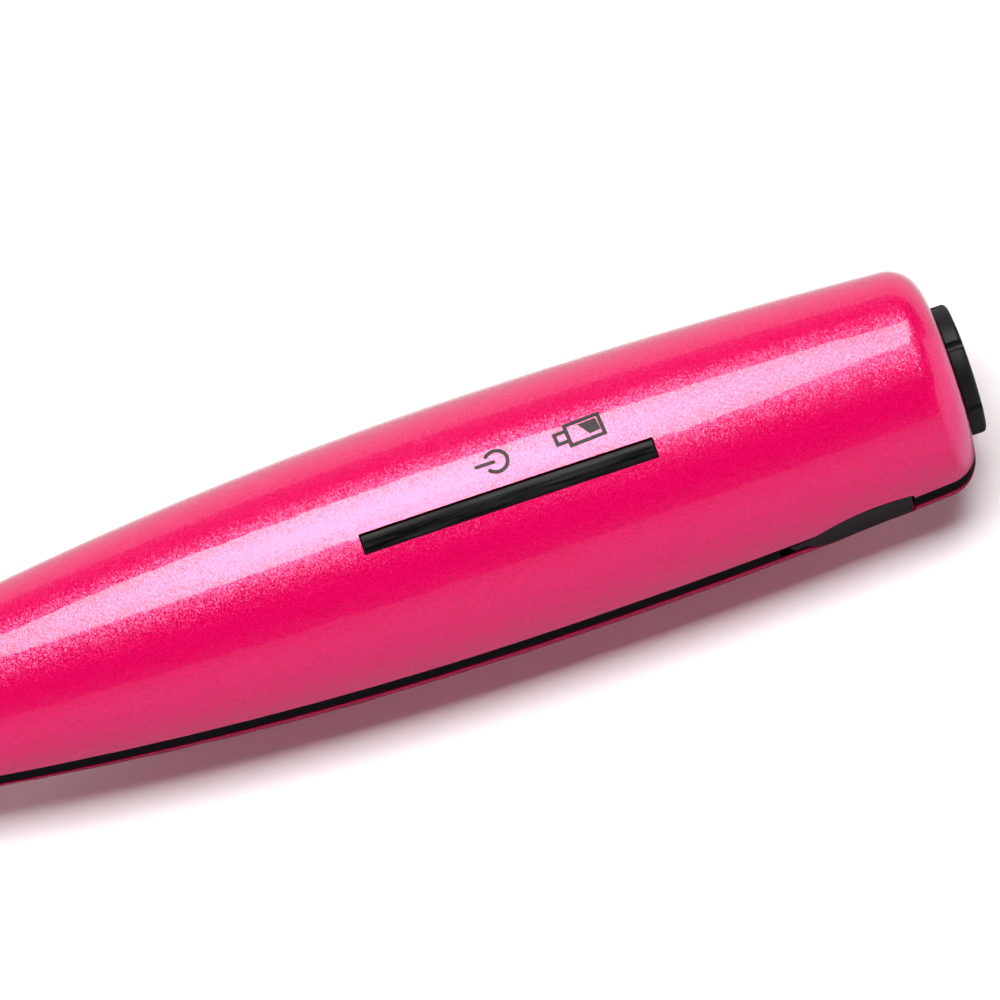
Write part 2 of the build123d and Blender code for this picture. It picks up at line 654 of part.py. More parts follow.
def button_cap(x, radius):
    """Round cap that follows the barrel, with a flange under the shell and a stem."""
    flange_r = radius + BUTTON_STEP
    wall_r = barrel_radius(x - flange_r) - WALL
    flange_top = sqrt(wall_r**2 - flange_r**2) - MOVE_GAP
    flange_bottom = max(flange_top - BUTTON_FLANGE, PLUNGER_TOP)
    with BuildPart() as cap:
        add(column([(x, 0)], radius, flange_bottom, FAR))
        add(barrel(BUTTON_PROUD), mode=Mode.INTERSECT)
        fillet(cap.edges().sort_by(Axis.Z)[-1], BUTTON_EDGE)
        add(column([(x, 0)], flange_r, flange_bottom, flange_top))
        add(column([(x, 0)], STEM_R, PLUNGER_TOP, flange_top))
    return cap.part


with BuildPart() as feed_switch:
    add(switch_body(FEED_BUTTON_X))

with BuildPart() as reverse_switch:
    add(switch_body(REVERSE_BUTTON_X))

with BuildPart() as feed_plunger:
    add(column([(FEED_BUTTON_X, 0)], PLUNGER_R, PLUNGER_BOTTOM, PLUNGER_TOP))

with BuildPart() as reverse_plunger:
    add(column([(REVERSE_BUTTON_X, 0)], PLUNGER_R, PLUNGER_BOTTOM, PLUNGER_TOP))

with BuildPart() as feed_button:
    add(button_cap(FEED_BUTTON_X, FEED_BUTTON_R))

with BuildPart() as reverse_button:
    add(button_cap(REVERSE_BUTTON_X, REVERSE_BUTTON_R))

# ---- battery ---------------------------------------------------------------------------------
BATTERY_REAR_X = BATTERY_FRONT_X + BATTERY_LENGTH

with BuildPart() as battery_cell:
    add(
        block(
            (BATTERY_FRONT_X, BATTERY_REAR_X),
            (-BATTERY_HALF_WIDTH, BATTERY_HALF_WIDTH),
            (BATTERY_BOTTOM, BATTERY_TOP),
        )
    )
    fillet(battery_cell.edges().filter_by(Axis.X), BATTERY_EDGE)

with BuildPart() as battery_pads:
    for rib_x in BATTERY_RIB_STATIONS:
        add(
            block(
                (rib_x - RIB_THICKNESS, rib_x + RIB_THICKNESS),
                (RIB_THICKNESS - RIB_HALF_WIDTH, RIB_HALF_WIDTH - RIB_THICKNESS),
                (BATTERY_BOTTOM - PAD_THICKNESS, BATTERY_BOTTOM),
            )
        )


def upright_strips(front_x, strip_y, bottom):
    """Pair of flat metal strips that rise to the underside of the main board."""
    with BuildPart() as strips:
        for side in (-1, 1):
            add(
                block(
                    (front_x, front_x + STRIP_THICKNESS),
                    (side * strip_y - STRIP_WIDTH / 2, side * strip_y + STRIP_WIDTH / 2),
                    (bottom, PCB_BOTTOM),
                )
            )
    return strips.part


with BuildPart() as battery_tabs:
    add(upright_strips(BATTERY_FRONT_X - STRIP_THICKNESS, TAB_Y, BATTERY_TOP - TAB_REACH))

# ---- charging port ---------------------------------------------------------------------------
SOCKET_Z_SPAN = (SOCKET_CENTRE_Z - SOCKET_HEIGHT / 2, CHARGE_BOARD_BOTTOM)

with BuildPart() as charge_board:
    add(
        block(
            (SOCKET_SPAN[0], SOCKET_SPAN[1]),
            (SOCKET_MOUTH_Y + SOCKET_WALL, SOCKET_INNER_Y + CHARGE_BOARD_OVERHANG),
            (CHARGE_BOARD_BOTTOM, SHELF_BOTTOM),
        )
    )

with BuildPart() as usb_socket:
    add(block(SOCKET_SPAN, (SOCKET_MOUTH_Y, SOCKET_INNER_Y), SOCKET_Z_SPAN))
    fillet(usb_socket.edges().filter_by(Axis.Y), SOCKET_HEIGHT / 3)
    with BuildSketch(Plane.XZ.offset(-SOCKET_MOUTH_Y)):
        with Locations((SOCKET_X, SOCKET_CENTRE_Z)):
            RectangleRounded(
                SOCKET_LENGTH - 2 * SOCKET_WALL,
                SOCKET_HEIGHT - 2 * SOCKET_WALL,
                SOCKET_HEIGHT / 3 - SOCKET_WALL,
            )
    extrude(amount=-(SOCKET_DEPTH - SOCKET_WALL), mode=Mode.SUBTRACT)

with BuildPart() as usb_tongue:
    with Locations(
        (SOCKET_X, SOCKET_INNER_Y - SOCKET_WALL - (SOCKET_DEPTH - 1) / 2, SOCKET_CENTRE_Z)
    ):
        Box(TONGUE_LENGTH, SOCKET_DEPTH - 1, TONGUE_THICKNESS)

with BuildPart() as port_cover_pin:
    with Locations((HINGE_X, HINGE_Y, 0)):
        Cylinder(HINGE_PIN_R, 2 * BAND_HALF)

with BuildPart() as cover_skin:
    add(cover_prism(0, -BELLY_R / 2))
    add(barrel(-BAND_RECESS), mode=Mode.INTERSECT)
    add(barrel(-WALL), mode=Mode.SUBTRACT)

with BuildPart() as port_cover:
    add(cover_skin.part)
    with Locations((HINGE_X, HINGE_Y, 0)):
        Cylinder(KNUCKLE_R, 2 * KNUCKLE_HALF)
    add(
        block(
            (HINGE_X, HINGE_X + 2 * KNUCKLE_R),
            (HINGE_Y - KNUCKLE_R + BAND_RECESS, HINGE_Y + KNUCKLE_R / 2),
            (-KNUCKLE_HALF, KNUCKLE_HALF),
        )
    )
    add(
        block(
            (COVER_REAR_X - COVER_NOTCH[0], SHELL_REAR_X),
            (-FAR, 0),
            (COVER_BOTTOM, COVER_BOTTOM_REAR + COVER_NOTCH[1]),
        ),
        mode=Mode.SUBTRACT,
    )
    with Locations((HINGE_X, HINGE_Y, 0)):
        Cylinder(HINGE_PIN_R + RUN_GAP, 2 * BAND_HALF, mode=Mode.SUBTRACT)

# ---- rear dial, its bush, sensor and clip ----------------------------------------------------
with BuildPart() as rear_dial:
    add(rod(DIAL_FRONT_X, DIAL_REAR_X, DIAL_R))
    fillet(rear_dial.edges().group_by(Axis.X)[-1], DIAL_EDGE)
    with BuildSketch(Plane.YZ.offset(DIAL_FRONT_X)):
        with PolarLocations(DIAL_R, DIAL_FLUTES, start_angle=FLUTE_START_ANGLE):
            Circle(FLUTE_R)
    extrude(amount=2 * DIAL_THICKNESS, mode=Mode.SUBTRACT)
    add(rod(REAR_BUSH_FRONT_X, DIAL_FRONT_X, DIAL_HUB_R))
    add(rod(DIAL_TAIL_FRONT_X, REAR_BUSH_FRONT_X, DIAL_TAIL_R))
    add(rod(DIAL_TAIL_FRONT_X, DIAL_REAR_X, DIAL_BORE_R), mode=Mode.SUBTRACT)
    rims = rear_dial.edges().filter_by(GeomType.CIRCLE).group_by(Axis.X)[-1]
    chamfer(
        rims.filter_by(lambda edge: abs(edge.radius - DIAL_BORE_R) < SEAT_GAP),
        DIAL_BORE_R / 2,
    )

with BuildPart() as rear_bush:
    add(rod(REAR_BUSH_FRONT_X, SHELL_REAR_X, REAR_BUSH_R))
    add(rod(REAR_BUSH_FRONT_X, SHELL_REAR_X, DIAL_HUB_R + RUN_GAP), mode=Mode.SUBTRACT)

with BuildPart() as dial_sensor:
    add(rod(DIAL_SENSOR_FRONT_X, REAR_BUSH_FRONT_X, DIAL_SENSOR_R))
    add(rod(DIAL_SENSOR_FRONT_X, REAR_BUSH_FRONT_X, DIAL_TAIL_R + RUN_GAP), mode=Mode.SUBTRACT)

with BuildPart() as dial_clip:
    clip_rear_x = DIAL_SENSOR_FRONT_X - 2 * RUN_GAP
    add(rod(clip_rear_x - CLIP_THICKNESS, clip_rear_x, CLIP_R))
    add(rod(clip_rear_x - CLIP_THICKNESS, clip_rear_x, DIAL_TAIL_R), mode=Mode.SUBTRACT)

# ---- filament feed ---------------------------------------------------------------------------
BEARING_REAR_X = FRONT_BULKHEAD_X + FRONT_BULKHEAD_THICKNESS
GEAR_REAR_X = GEAR_FRONT_X + GEAR_WIDTH
DRIVE_TOOTH_ANGLE = -90
PINION_TOOTH_ANGLE = 90 + 180 / PINION_TEETH

with BuildPart() as drive_sleeve:
    add(rod(SLEEVE_FRONT_X, SLEEVE_REAR_X, SLEEVE_R))
    add(rod(BEARING_REAR_X + RUN_GAP, MOTOR_BULKHEAD_X - RUN_GAP, SLEEVE_COLLAR_R))
    add(gear(DRIVE_TEETH, GEAR_FRONT_X, 0, DRIVE_TOOTH_ANGLE))
    add(rod(SLEEVE_FRONT_X, SLEEVE_REAR_X, STRAND_BORE_R), mode=Mode.SUBTRACT)

with BuildPart() as front_bearing:
    add(rod(FRONT_BULKHEAD_X, BEARING_REAR_X, BEARING_R))
    add(rod(FRONT_BULKHEAD_X, BEARING_REAR_X, SLEEVE_R + RUN_GAP), mode=Mode.SUBTRACT)

with BuildPart() as rear_bearing:
    add(rod(MOTOR_BULKHEAD_X, MOTOR_FRONT_X, BEARING_R))
    add(rod(MOTOR_BULKHEAD_X, MOTOR_FRONT_X, SLEEVE_R + RUN_GAP), mode=Mode.SUBTRACT)

with BuildPart() as motor_pinion:
    add(gear(PINION_TEETH, GEAR_FRONT_X, -MOTOR_DROP, PINION_TOOTH_ANGLE))
    add(rod(GEAR_FRONT_X, GEAR_REAR_X, MOTOR_SHAFT_R, -MOTOR_DROP), mode=Mode.SUBTRACT)

with BuildPart() as motor_shaft:
    shaft_front_x = GEAR_FRONT_X - MOTOR_SHAFT_R
    add(rod(shaft_front_x, MOTOR_FRONT_X + SHAFT_IN_GEARHEAD, MOTOR_SHAFT_R, -MOTOR_DROP))

with BuildPart() as motor_screws:
    for screw_y, screw_z in MOTOR_SCREW_POINTS:
        head_x = MOTOR_BULKHEAD_X - MOTOR_SCREW_HEAD
        add(rod(head_x, MOTOR_BULKHEAD_X, MOTOR_SCREW_HEAD_R, screw_z, screw_y))
        add(rod(head_x, MOTOR_FRONT_X + MOTOR_SCREW_DEPTH, MOTOR_SCREW_R, screw_z, screw_y))

with BuildPart() as gearhead:
    add(rod(MOTOR_FRONT_X, MOTOR_FRONT_X + GEARHEAD_LENGTH, MOTOR_R, -MOTOR_DROP))
    boss_front_x = MOTOR_FRONT_X - MOTOR_BOSS_LENGTH
    add(rod(boss_front_x, MOTOR_FRONT_X, MOTOR_BOSS_R, -MOTOR_DROP))
    shaft_end_x = MOTOR_FRONT_X + SHAFT_IN_GEARHEAD + RUN_GAP
    add(
        rod(MOTOR_BULKHEAD_X, shaft_end_x, MOTOR_SHAFT_R + RUN_GAP, -MOTOR_DROP),
        mode=Mode.SUBTRACT,
    )
    for screw_y, screw_z in MOTOR_SCREW_POINTS:
        screw_end_x = MOTOR_FRONT_X + MOTOR_SCREW_DEPTH
        add(rod(MOTOR_FRONT_X, screw_end_x, MOTOR_SCREW_R, screw_z, screw_y), mode=Mode.SUBTRACT)

with BuildPart() as feed_motor:
    add(rod(MOTOR_FRONT_X + GEARHEAD_LENGTH, MOTOR_REAR_X, MOTOR_R, -MOTOR_DROP))
    fillet(feed_motor.edges().group_by(Axis.X)[-1], MOTOR_R / 10)

with BuildPart() as motor_terminals:
    add(upright_strips(MOTOR_REAR_X, TERMINAL_Y, -MOTOR_DROP))

# ---- strand tubes ----------------------------------------------------------------------------
with BuildPart() as inlet_tube:
    add(rod(SLEEVE_REAR_X + MOVE_GAP, DIAL_TAIL_FRONT_X - MOVE_GAP, INLET_TUBE_R))
    add(
        rod(SLEEVE_REAR_X + MOVE_GAP, DIAL_TAIL_FRONT_X - MOVE_GAP, STRAND_BORE_R),
        mode=Mode.SUBTRACT,
    )
    mouth = inlet_tube.edges().filter_by(GeomType.CIRCLE).group_by(Axis.X)[-1]
    chamfer(mouth.sort_by(lambda edge: edge.radius)[0], TUBE_MOUTH)

with BuildPart() as feed_tube:
    add(rod(MELT_TUBE_REAR_X + SEAT_GAP, SLEEVE_FRONT_X - MOVE_GAP, FEED_TUBE_R))
    add(
        rod(MELT_TUBE_REAR_X + SEAT_GAP, SLEEVE_FRONT_X - MOVE_GAP, STRAND_BORE_R),
        mode=Mode.SUBTRACT,
    )

with BuildPart() as tube_coupler:
    add(rod(COUPLER_FRONT_X, COUPLER_REAR_X, COUPLER_R))
    add(rod(COUPLER_FRONT_X, COUPLER_REAR_X, FEED_TUBE_R + SEAT_GAP), mode=Mode.SUBTRACT)

# ---- hot end ---------------------------------------------------------------------------------
SOCKET_FRONT_X = NOZZLE_LENGTH - NOZZLE_SOCKET_DEPTH

with BuildPart() as nozzle:
    with BuildSketch(Plane.XZ):
        with BuildLine():
            Polyline(
                (0, NOZZLE_OUTLET_R),
                (0, NOZZLE_TIP_R),
                (NOZZLE_TAPER_LENGTH, NOZZLE_R),
                (NOZZLE_LENGTH, NOZZLE_R),
                (NOZZLE_LENGTH, MELT_TUBE_R + SEAT_GAP),
                (SOCKET_FRONT_X, MELT_TUBE_R + SEAT_GAP),
                (SOCKET_FRONT_X, STRAND_BORE_R),
                (NOZZLE_LAND + STRAND_BORE_R, STRAND_BORE_R),
                (NOZZLE_LAND, NOZZLE_OUTLET_R),
                close=True,
            )
        make_face()
    revolve(axis=Axis.X)

with BuildPart() as melt_tube:
    add(rod(SOCKET_FRONT_X, MELT_TUBE_REAR_X, MELT_TUBE_R))
    add(rod(SOCKET_FRONT_X, MELT_TUBE_REAR_X, STRAND_BORE_R), mode=Mode.SUBTRACT)

with BuildPart() as heater_sleeve:
    add(rod(HEATER_FRONT_X, HEATER_REAR_X, HEATER_R))
    add(rod(HEATER_FRONT_X, HEATER_REAR_X, MELT_TUBE_R + SEAT_GAP), mode=Mode.SUBTRACT)
    sensor_front_x = HEATER_REAR_X - SENSOR_LENGTH
    add(
        rod(sensor_front_x, HEATER_REAR_X, SENSOR_R + SEAT_GAP, SENSOR_OFFSET),
        mode=Mode.SUBTRACT,
    )

with BuildPart() as heat_sensor:
    add(rod(sensor_front_x + SEAT_GAP, HEATER_REAR_X, SENSOR_R, SENSOR_OFFSET))

with BuildPart() as heat_wrap:
    add(rod(HEATER_FRONT_X, HEATER_REAR_X, HEATER_R + SEAT_GAP + WRAP_THICKNESS))
    add(rod(HEATER_FRONT_X, HEATER_REAR_X, HEATER_R + SEAT_GAP), mode=Mode.SUBTRACT)

with BuildPart() as collar_bush:
    add(rod(BUSH_FRONT_X, BUSH_FRONT_X + BUSH_FLANGE_LENGTH, BUSH_FLANGE_R))
    add(rod(BUSH_FRONT_X, BUSH_REAR_X, BUSH_R))
    add(rod(BUSH_FRONT_X, BUSH_REAR_X, MELT_TUBE_R + SEAT_GAP), mode=Mode.SUBTRACT)

SPIGOT_R = barrel_radius(SHELL_FRONT_X) - WALL - SEAT_GAP
CONE_REAR_X = SHELL_FRONT_X + CONE_SPIGOT_LENGTH
CONE_REAR_R = barrel_radius(SHELL_FRONT_X) - BAND_RECESS

with BuildPart() as nose_cone:
    with BuildSketch(Plane.XZ):
        with BuildLine():
            cone_side = ThreePointArc(
                (CONE_FRONT_X, CONE_TIP_R),
                (
                    (CONE_FRONT_X + SHELL_FRONT_X) / 2,
                    (CONE_TIP_R + CONE_REAR_R) / 2 + CONE_BULGE,
                ),
                (SHELL_FRONT_X, CONE_REAR_R),
            )
            Polyline(
                cone_side @ 1,
                (SHELL_FRONT_X, SPIGOT_R),
                (CONE_REAR_X, SPIGOT_R),
                (CONE_REAR_X, CONE_BORE_R),
                (HEATER_FRONT_X, CONE_BORE_R),
                (CONE_FRONT_X + CONE_LIP, CONE_TIP_BORE_R),
                (CONE_FRONT_X, CONE_TIP_BORE_R),
                cone_side @ 0,
            )
        make_face()
    revolve(axis=Axis.X)

# ---- shell screws ----------------------------------------------------------------------------
with BuildPart() as shell_screws:
    add(column(BOSS_POINTS, SCREW_R, SCREW_HEAD_SEAT, SCREW_TOP))
    add(column(BOSS_POINTS, SCREW_HEAD_R, SCREW_HEAD_SEAT - SCREW_HEAD_HEIGHT, SCREW_HEAD_SEAT))

# ---- export ----------------------------------------------------------------------------------
pieces = {
    "upper_shell": upper_shell,
    "lower_shell": lower_shell,
    "mid_frame": mid_frame,
    "light_window": light_window,
    "light_guide": light_guide,
    "status_leds": status_leds,
    "main_pcb": main_pcb,
    "pcb_chips": pcb_chips,
    "pcb_screws": pcb_screws,
    "button_board": button_board,
    "ribbon_cable": ribbon_cable,
    "feed_switch": feed_switch,
    "reverse_switch": reverse_switch,
    "feed_plunger": feed_plunger,
    "reverse_plunger": reverse_plunger,
    "feed_button": feed_button,
    "reverse_button": reverse_button,
    "battery_cell": battery_cell,
    "battery_pads": battery_pads,
    "battery_tabs": battery_tabs,
    "charge_board": charge_board,
    "usb_socket": usb_socket,
    "usb_tongue": usb_tongue,
    "port_cover": port_cover,
    "port_cover_pin": port_cover_pin,
    "rear_dial": rear_dial,
    "rear_bush": rear_bush,
    "dial_sensor": dial_sensor,
    "dial_clip": dial_clip,
    "drive_sleeve": drive_sleeve,
    "front_bearing": front_bearing,
    "rear_bearing": rear_bearing,
    "motor_pinion": motor_pinion,
    "motor_shaft": motor_shaft,
    "motor_screws": motor_screws,
    "gearhead": gearhead,
    "feed_motor": feed_motor,
    "motor_terminals": motor_terminals,
    "inlet_tube": inlet_tube,
    "feed_tube": feed_tube,
    "tube_coupler": tube_coupler,
    "nozzle": nozzle,
    "melt_tube": melt_tube,
    "heater_sleeve": heater_sleeve,
    "heat_sensor": heat_sensor,
    "heat_wrap": heat_wrap,
    "collar_bush": collar_bush,
    "nose_cone": nose_cone,
    "shell_screws": shell_screws,
}

os.makedirs("parts", exist_ok=True)
for name, piece in pieces.items():
    piece.part.label = name
    export_step(piece.part, f"parts/{name}.step")
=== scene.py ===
"""Looks, light and camera for the cordless 3-D pen.

Frame: origin at the nozzle outlet, +X along the pen's axis to the rear, +Z up. Metres.
"""

from math import cos, pi, radians, sin, sqrt

import bmesh
import bpy
from mathutils import Matrix, Vector


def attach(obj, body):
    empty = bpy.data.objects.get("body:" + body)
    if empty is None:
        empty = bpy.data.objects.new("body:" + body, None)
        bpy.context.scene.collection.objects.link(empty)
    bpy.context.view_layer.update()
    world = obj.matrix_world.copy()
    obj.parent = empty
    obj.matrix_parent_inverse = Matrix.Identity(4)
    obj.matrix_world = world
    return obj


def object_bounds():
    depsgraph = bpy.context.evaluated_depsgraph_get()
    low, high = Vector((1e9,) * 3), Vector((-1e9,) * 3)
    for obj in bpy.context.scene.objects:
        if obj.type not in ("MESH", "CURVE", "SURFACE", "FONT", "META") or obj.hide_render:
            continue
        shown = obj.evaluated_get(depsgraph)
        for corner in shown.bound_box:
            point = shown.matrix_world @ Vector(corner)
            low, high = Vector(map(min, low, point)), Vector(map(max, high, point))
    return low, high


MM = 0.001

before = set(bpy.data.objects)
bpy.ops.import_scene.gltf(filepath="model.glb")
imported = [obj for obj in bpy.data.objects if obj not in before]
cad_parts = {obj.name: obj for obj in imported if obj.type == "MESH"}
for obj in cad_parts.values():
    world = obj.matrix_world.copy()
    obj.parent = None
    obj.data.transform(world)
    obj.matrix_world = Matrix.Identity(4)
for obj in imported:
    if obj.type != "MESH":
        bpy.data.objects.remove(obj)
cad_low, cad_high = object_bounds()

# ---- barrel and window, as in the CAD source -------------------------------------------------
BELLY_X = 106.0 * MM
BELLY_R = 15.0 * MM
FRONT_ARC_R = 444.0 * MM
REAR_ARC_R = 741.0 * MM
WINDOW_X = 107.7 * MM
WINDOW_LENGTH, WINDOW_WIDTH = 34.5 * MM, 2.45 * MM
WINDOW_TILT = 11.0              # degrees from the top toward the camera's side


def barrel_radius(x):
    arc = FRONT_ARC_R if x < BELLY_X else REAR_ARC_R
    return BELLY_R - arc + sqrt(arc**2 - (x - BELLY_X) ** 2)


# ---- objects ---------------------------------------------------------------------------------
def in_scene(name, data):
    """A new object, linked to the scene."""
    piece = bpy.data.objects.new(name, data)
    bpy.context.scene.collection.objects.link(piece)
    return piece


def facing(side, rise, back, place):
    """The matrix of an object at place whose local axes are side, rise and back."""
    return Matrix(
        (
            (side.x, rise.x, back.x, place.x),
            (side.y, rise.y, back.y, place.y),
            (side.z, rise.z, back.z, place.z),
            (0, 0, 0, 1),
        )
    )


# ---- camera ----------------------------------------------------------------------------------
CAMERA_AZIMUTH = -2.81          # degrees; at 0 it looks along +Y
CAMERA_ELEVATION = 69.20
CAMERA_ROLL = -15.77
CAMERA_DISTANCE = 0.810
CAMERA_TARGET_X = 0.1061        # on the pen's axis
CAMERA_TARGET_UP = 0.0025       # from there, along the picture's vertical
CAMERA_LENS, CAMERA_SENSOR = 257.6, 36
CAMERA_CLIP = (0.01, 20)


def aim_camera():
    azimuth, elevation = radians(CAMERA_AZIMUTH), radians(CAMERA_ELEVATION)
    back = Vector(
        (sin(azimuth) * cos(elevation), -cos(azimuth) * cos(elevation), sin(elevation))
    )
    level = (-back).cross(Vector((0, 0, 1))).normalized()
    rise = level.cross(-back)
    roll = radians(CAMERA_ROLL)
    right = level * cos(roll) + rise * sin(roll)
    up = rise * cos(roll) - level * sin(roll)
    place = Vector((CAMERA_TARGET_X, 0, 0)) + up * CAMERA_TARGET_UP + back * CAMERA_DISTANCE
    data = bpy.data.cameras.new("camera")
    data.lens, data.sensor_width = CAMERA_LENS, CAMERA_SENSOR
    data.clip_start, data.clip_end = CAMERA_CLIP
    camera = in_scene("camera", data)
    camera.matrix_world = facing(right, up, back, place)
    bpy.context.scene.camera = camera


aim_camera()

# ---- nodes -----------------------------------------------------------------------------------
NOISE_ROUGHNESS = 0.55
NOISE_SPAN = (0.3, 0.7)         # where nearly all values of a noise lie
BEVEL_SAMPLES = 4


class Nodes:
    """A node tree, with short calls that add nodes to it and link them."""

    def __init__(self, tree):
        self.tree = tree

    def add(self, kind, inputs=(), **settings):
        """A new node. Each input is a value, or the socket that feeds it."""
        node = self.tree.nodes.new(kind)
        for key, value in settings.items():
            setattr(node, key, value)
        for socket, value in dict(inputs).items():
            if isinstance(value, bpy.types.NodeSocket):
                self.tree.links.new(value, node.inputs[socket])
            else:
                node.inputs[socket].default_value = value
        return node

    def math(self, operation, *values):
        return self.add("ShaderNodeMath", enumerate(values), operation=operation).outputs[0]

    def vector(self, operation, inputs):
        return self.add("ShaderNodeVectorMath", inputs, operation=operation).outputs[0]

    def parts(self, vector):
        """The x, y and z of a vector."""
        return self.add("ShaderNodeSeparateXYZ", {0: vector}).outputs

    def spread(self, value, low, high, start=0.0, end=1.0, kind="LINEAR"):
        """Maps value from start..end to low..high, clamped."""
        inputs = enumerate((value, start, end, low, high))
        return self.add("ShaderNodeMapRange", inputs, interpolation_type=kind).outputs[0]

    def ease(self, value, span, low, high):
        """Maps value over span to low..high, clamped, with a soft start and end."""
        return self.spread(value, low, high, *span, kind="SMOOTHSTEP")


class Finish(Nodes):
    """A Principled material, with calls for the nodes that give it its detail."""

    def __init__(self, name, **constants):
        self.material = bpy.data.materials.new(name + "_finish")
        self.material.use_nodes = True
        super().__init__(self.material.node_tree)
        self.shader = next(n for n in self.tree.nodes if n.type == "BSDF_PRINCIPLED")
        for socket, value in constants.items():
            self.shader.inputs[socket.replace("_", " ")].default_value = value
        self.place = self.add("ShaderNodeTexCoord").outputs["Object"]

    def set(self, socket, value):
        self.tree.links.new(value, self.shader.inputs[socket])

    def stretched(self, scale):
        """Object coordinates, scaled along each axis."""
        return self.add("ShaderNodeMapping", {"Vector": self.place, "Scale": scale}).outputs[0]

    def noise(self, size_mm, detail=3.0, place=None):
        """Smooth noise whose features are about size_mm across."""
        inputs = {
            "Vector": place or self.place,
            "Scale": 1 / (size_mm * MM),
            "Detail": detail,
            "Roughness": NOISE_ROUGHNESS,
        }
        return self.add("ShaderNodeTexNoise", inputs).outputs["Fac"]

    def cells(self, size_mm, output="Distance", feature="F1"):
        """Cells about size_mm across: the distance in each, or each cell's own colour."""
        inputs = {"Vector": self.place, "Scale": 1 / (size_mm * MM)}
        return self.add("ShaderNodeTexVoronoi", inputs, feature=feature).outputs[output]

    def blend(self, factor, *colours):
        """Mixes two colours. Each is a socket or three numbers."""
        first, second = (
            colour if isinstance(colour, bpy.types.NodeSocket) else (*colour, 1)
            for colour in colours
        )
        inputs = {0: factor, 6: first, 7: second}    # the node's colour sockets are 6 and 7
        return self.add("ShaderNodeMix", inputs, data_type="RGBA").outputs[2]

    def bump(self, height, depth_mm, normal=None):
        inputs = {"Height": height, "Distance": depth_mm * MM, "Strength": 1.0}
        if normal is not None:
            inputs["Normal"] = normal
        return self.add("ShaderNodeBump", inputs).outputs[0]

    def rounded(self, radius_mm):
        """A normal that rounds sharp edges in the render."""
        inputs = {"Radius": radius_mm * MM}
        return self.add("ShaderNodeBevel", inputs, samples=BEVEL_SAMPLES).outputs[0]


def tone(colour, factor):
    return tuple(min(1.0, channel * factor) for channel in colour)


# ---- outer finishes --------------------------------------------------------------------------
FLAKE_MM = 0.095
FLAKE_TILT = 0.30
PEARL_TINT = (0.92, 0.54, 1.0, 1)
# The brighter of the two flake tones is painted glint: sparkle put into the base colour.
PEARL_DEEP, PEARL_PAINTED_GLINT = (0.52, 0.0, 0.045), (0.76, 0.0, 0.11)
PEARL_CLOUD, CLOUD_MM, CLOUD_SHARE = (0.64, 0.0, 0.12), 9.0, 0.16
COAT_WAVE_MM, COAT_WAVE_DEPTH_MM = 2.2, 0.0006


def pearl_lacquer():
    """Deep pink base whose flake tones vary at random and carry painted glint, a layer of fine
    pearl flakes, and a clear coat.
    """
    f = Finish(
        "pink_pearl",
        IOR=1.8,
        Specular_Tint=PEARL_TINT,
        Coat_Weight=0.75,
        Coat_Roughness=0.04,
        Coat_IOR=1.5,
    )
    cloud = f.noise(CLOUD_MM, 2.0)
    flake = f.cells(FLAKE_MM, "Color")
    tilt = f.vector("SUBTRACT", {0: flake, 1: (0.5, 0.5, 0.5)})
    tilt = f.vector("SCALE", {0: tilt, "Scale": FLAKE_TILT})
    straight = f.add("ShaderNodeNewGeometry").outputs["Normal"]
    tilted = f.vector("ADD", {0: straight, 1: tilt})
    f.set("Normal", f.vector("NORMALIZE", {0: tilted}))
    # Each flake's base tone varies at random, and its bright end is painted glint; the same value
    # sets the roughness.
    flake_tone_and_painted_glint = f.add("ShaderNodeSeparateColor", {0: flake}).outputs[0]
    base = f.blend(f.spread(flake_tone_and_painted_glint, 0.0, 1.0), PEARL_DEEP, PEARL_PAINTED_GLINT)
    f.set("Base Color", f.blend(f.spread(cloud, 0.0, CLOUD_SHARE), base, PEARL_CLOUD))
    f.set("Roughness", f.spread(flake_tone_and_painted_glint, 0.15, 0.26))
    f.set("Coat Normal", f.bump(f.noise(COAT_WAVE_MM, 1.0), COAT_WAVE_DEPTH_MM))
    return f.material


LENS_BLACK, LENS_STREAK = (0.001, 0.001, 0.0013), (0.009, 0.0085, 0.0105)
LENS_FINE, LENS_PAINTED_SHEEN = (0.017, 0.017, 0.019), (0.30, 0.30, 0.31)
# The sheen is a painted highlight: a faint lighter tone over one side of the lens.
PAINTED_SHEEN_ACROSS, PAINTED_SHEEN_SHARE = (0.1 * MM, 0.75 * MM), 0.05
# The rim's colour is painted shade: the lens is darkened toward its edges, where the gap round it
# lies in shade.
SHADED_RIM_SIDE, SHADED_RIM_END, SHADED_RIM_BLUR = 0.24 * MM, 0.16 * MM, 0.08 * MM
RIM_PAINTED_SHADE, SHADED_RIM_ROUGHNESS = (0.004, 0.0004, 0.0006), (0.9, 0.9, 0.9)


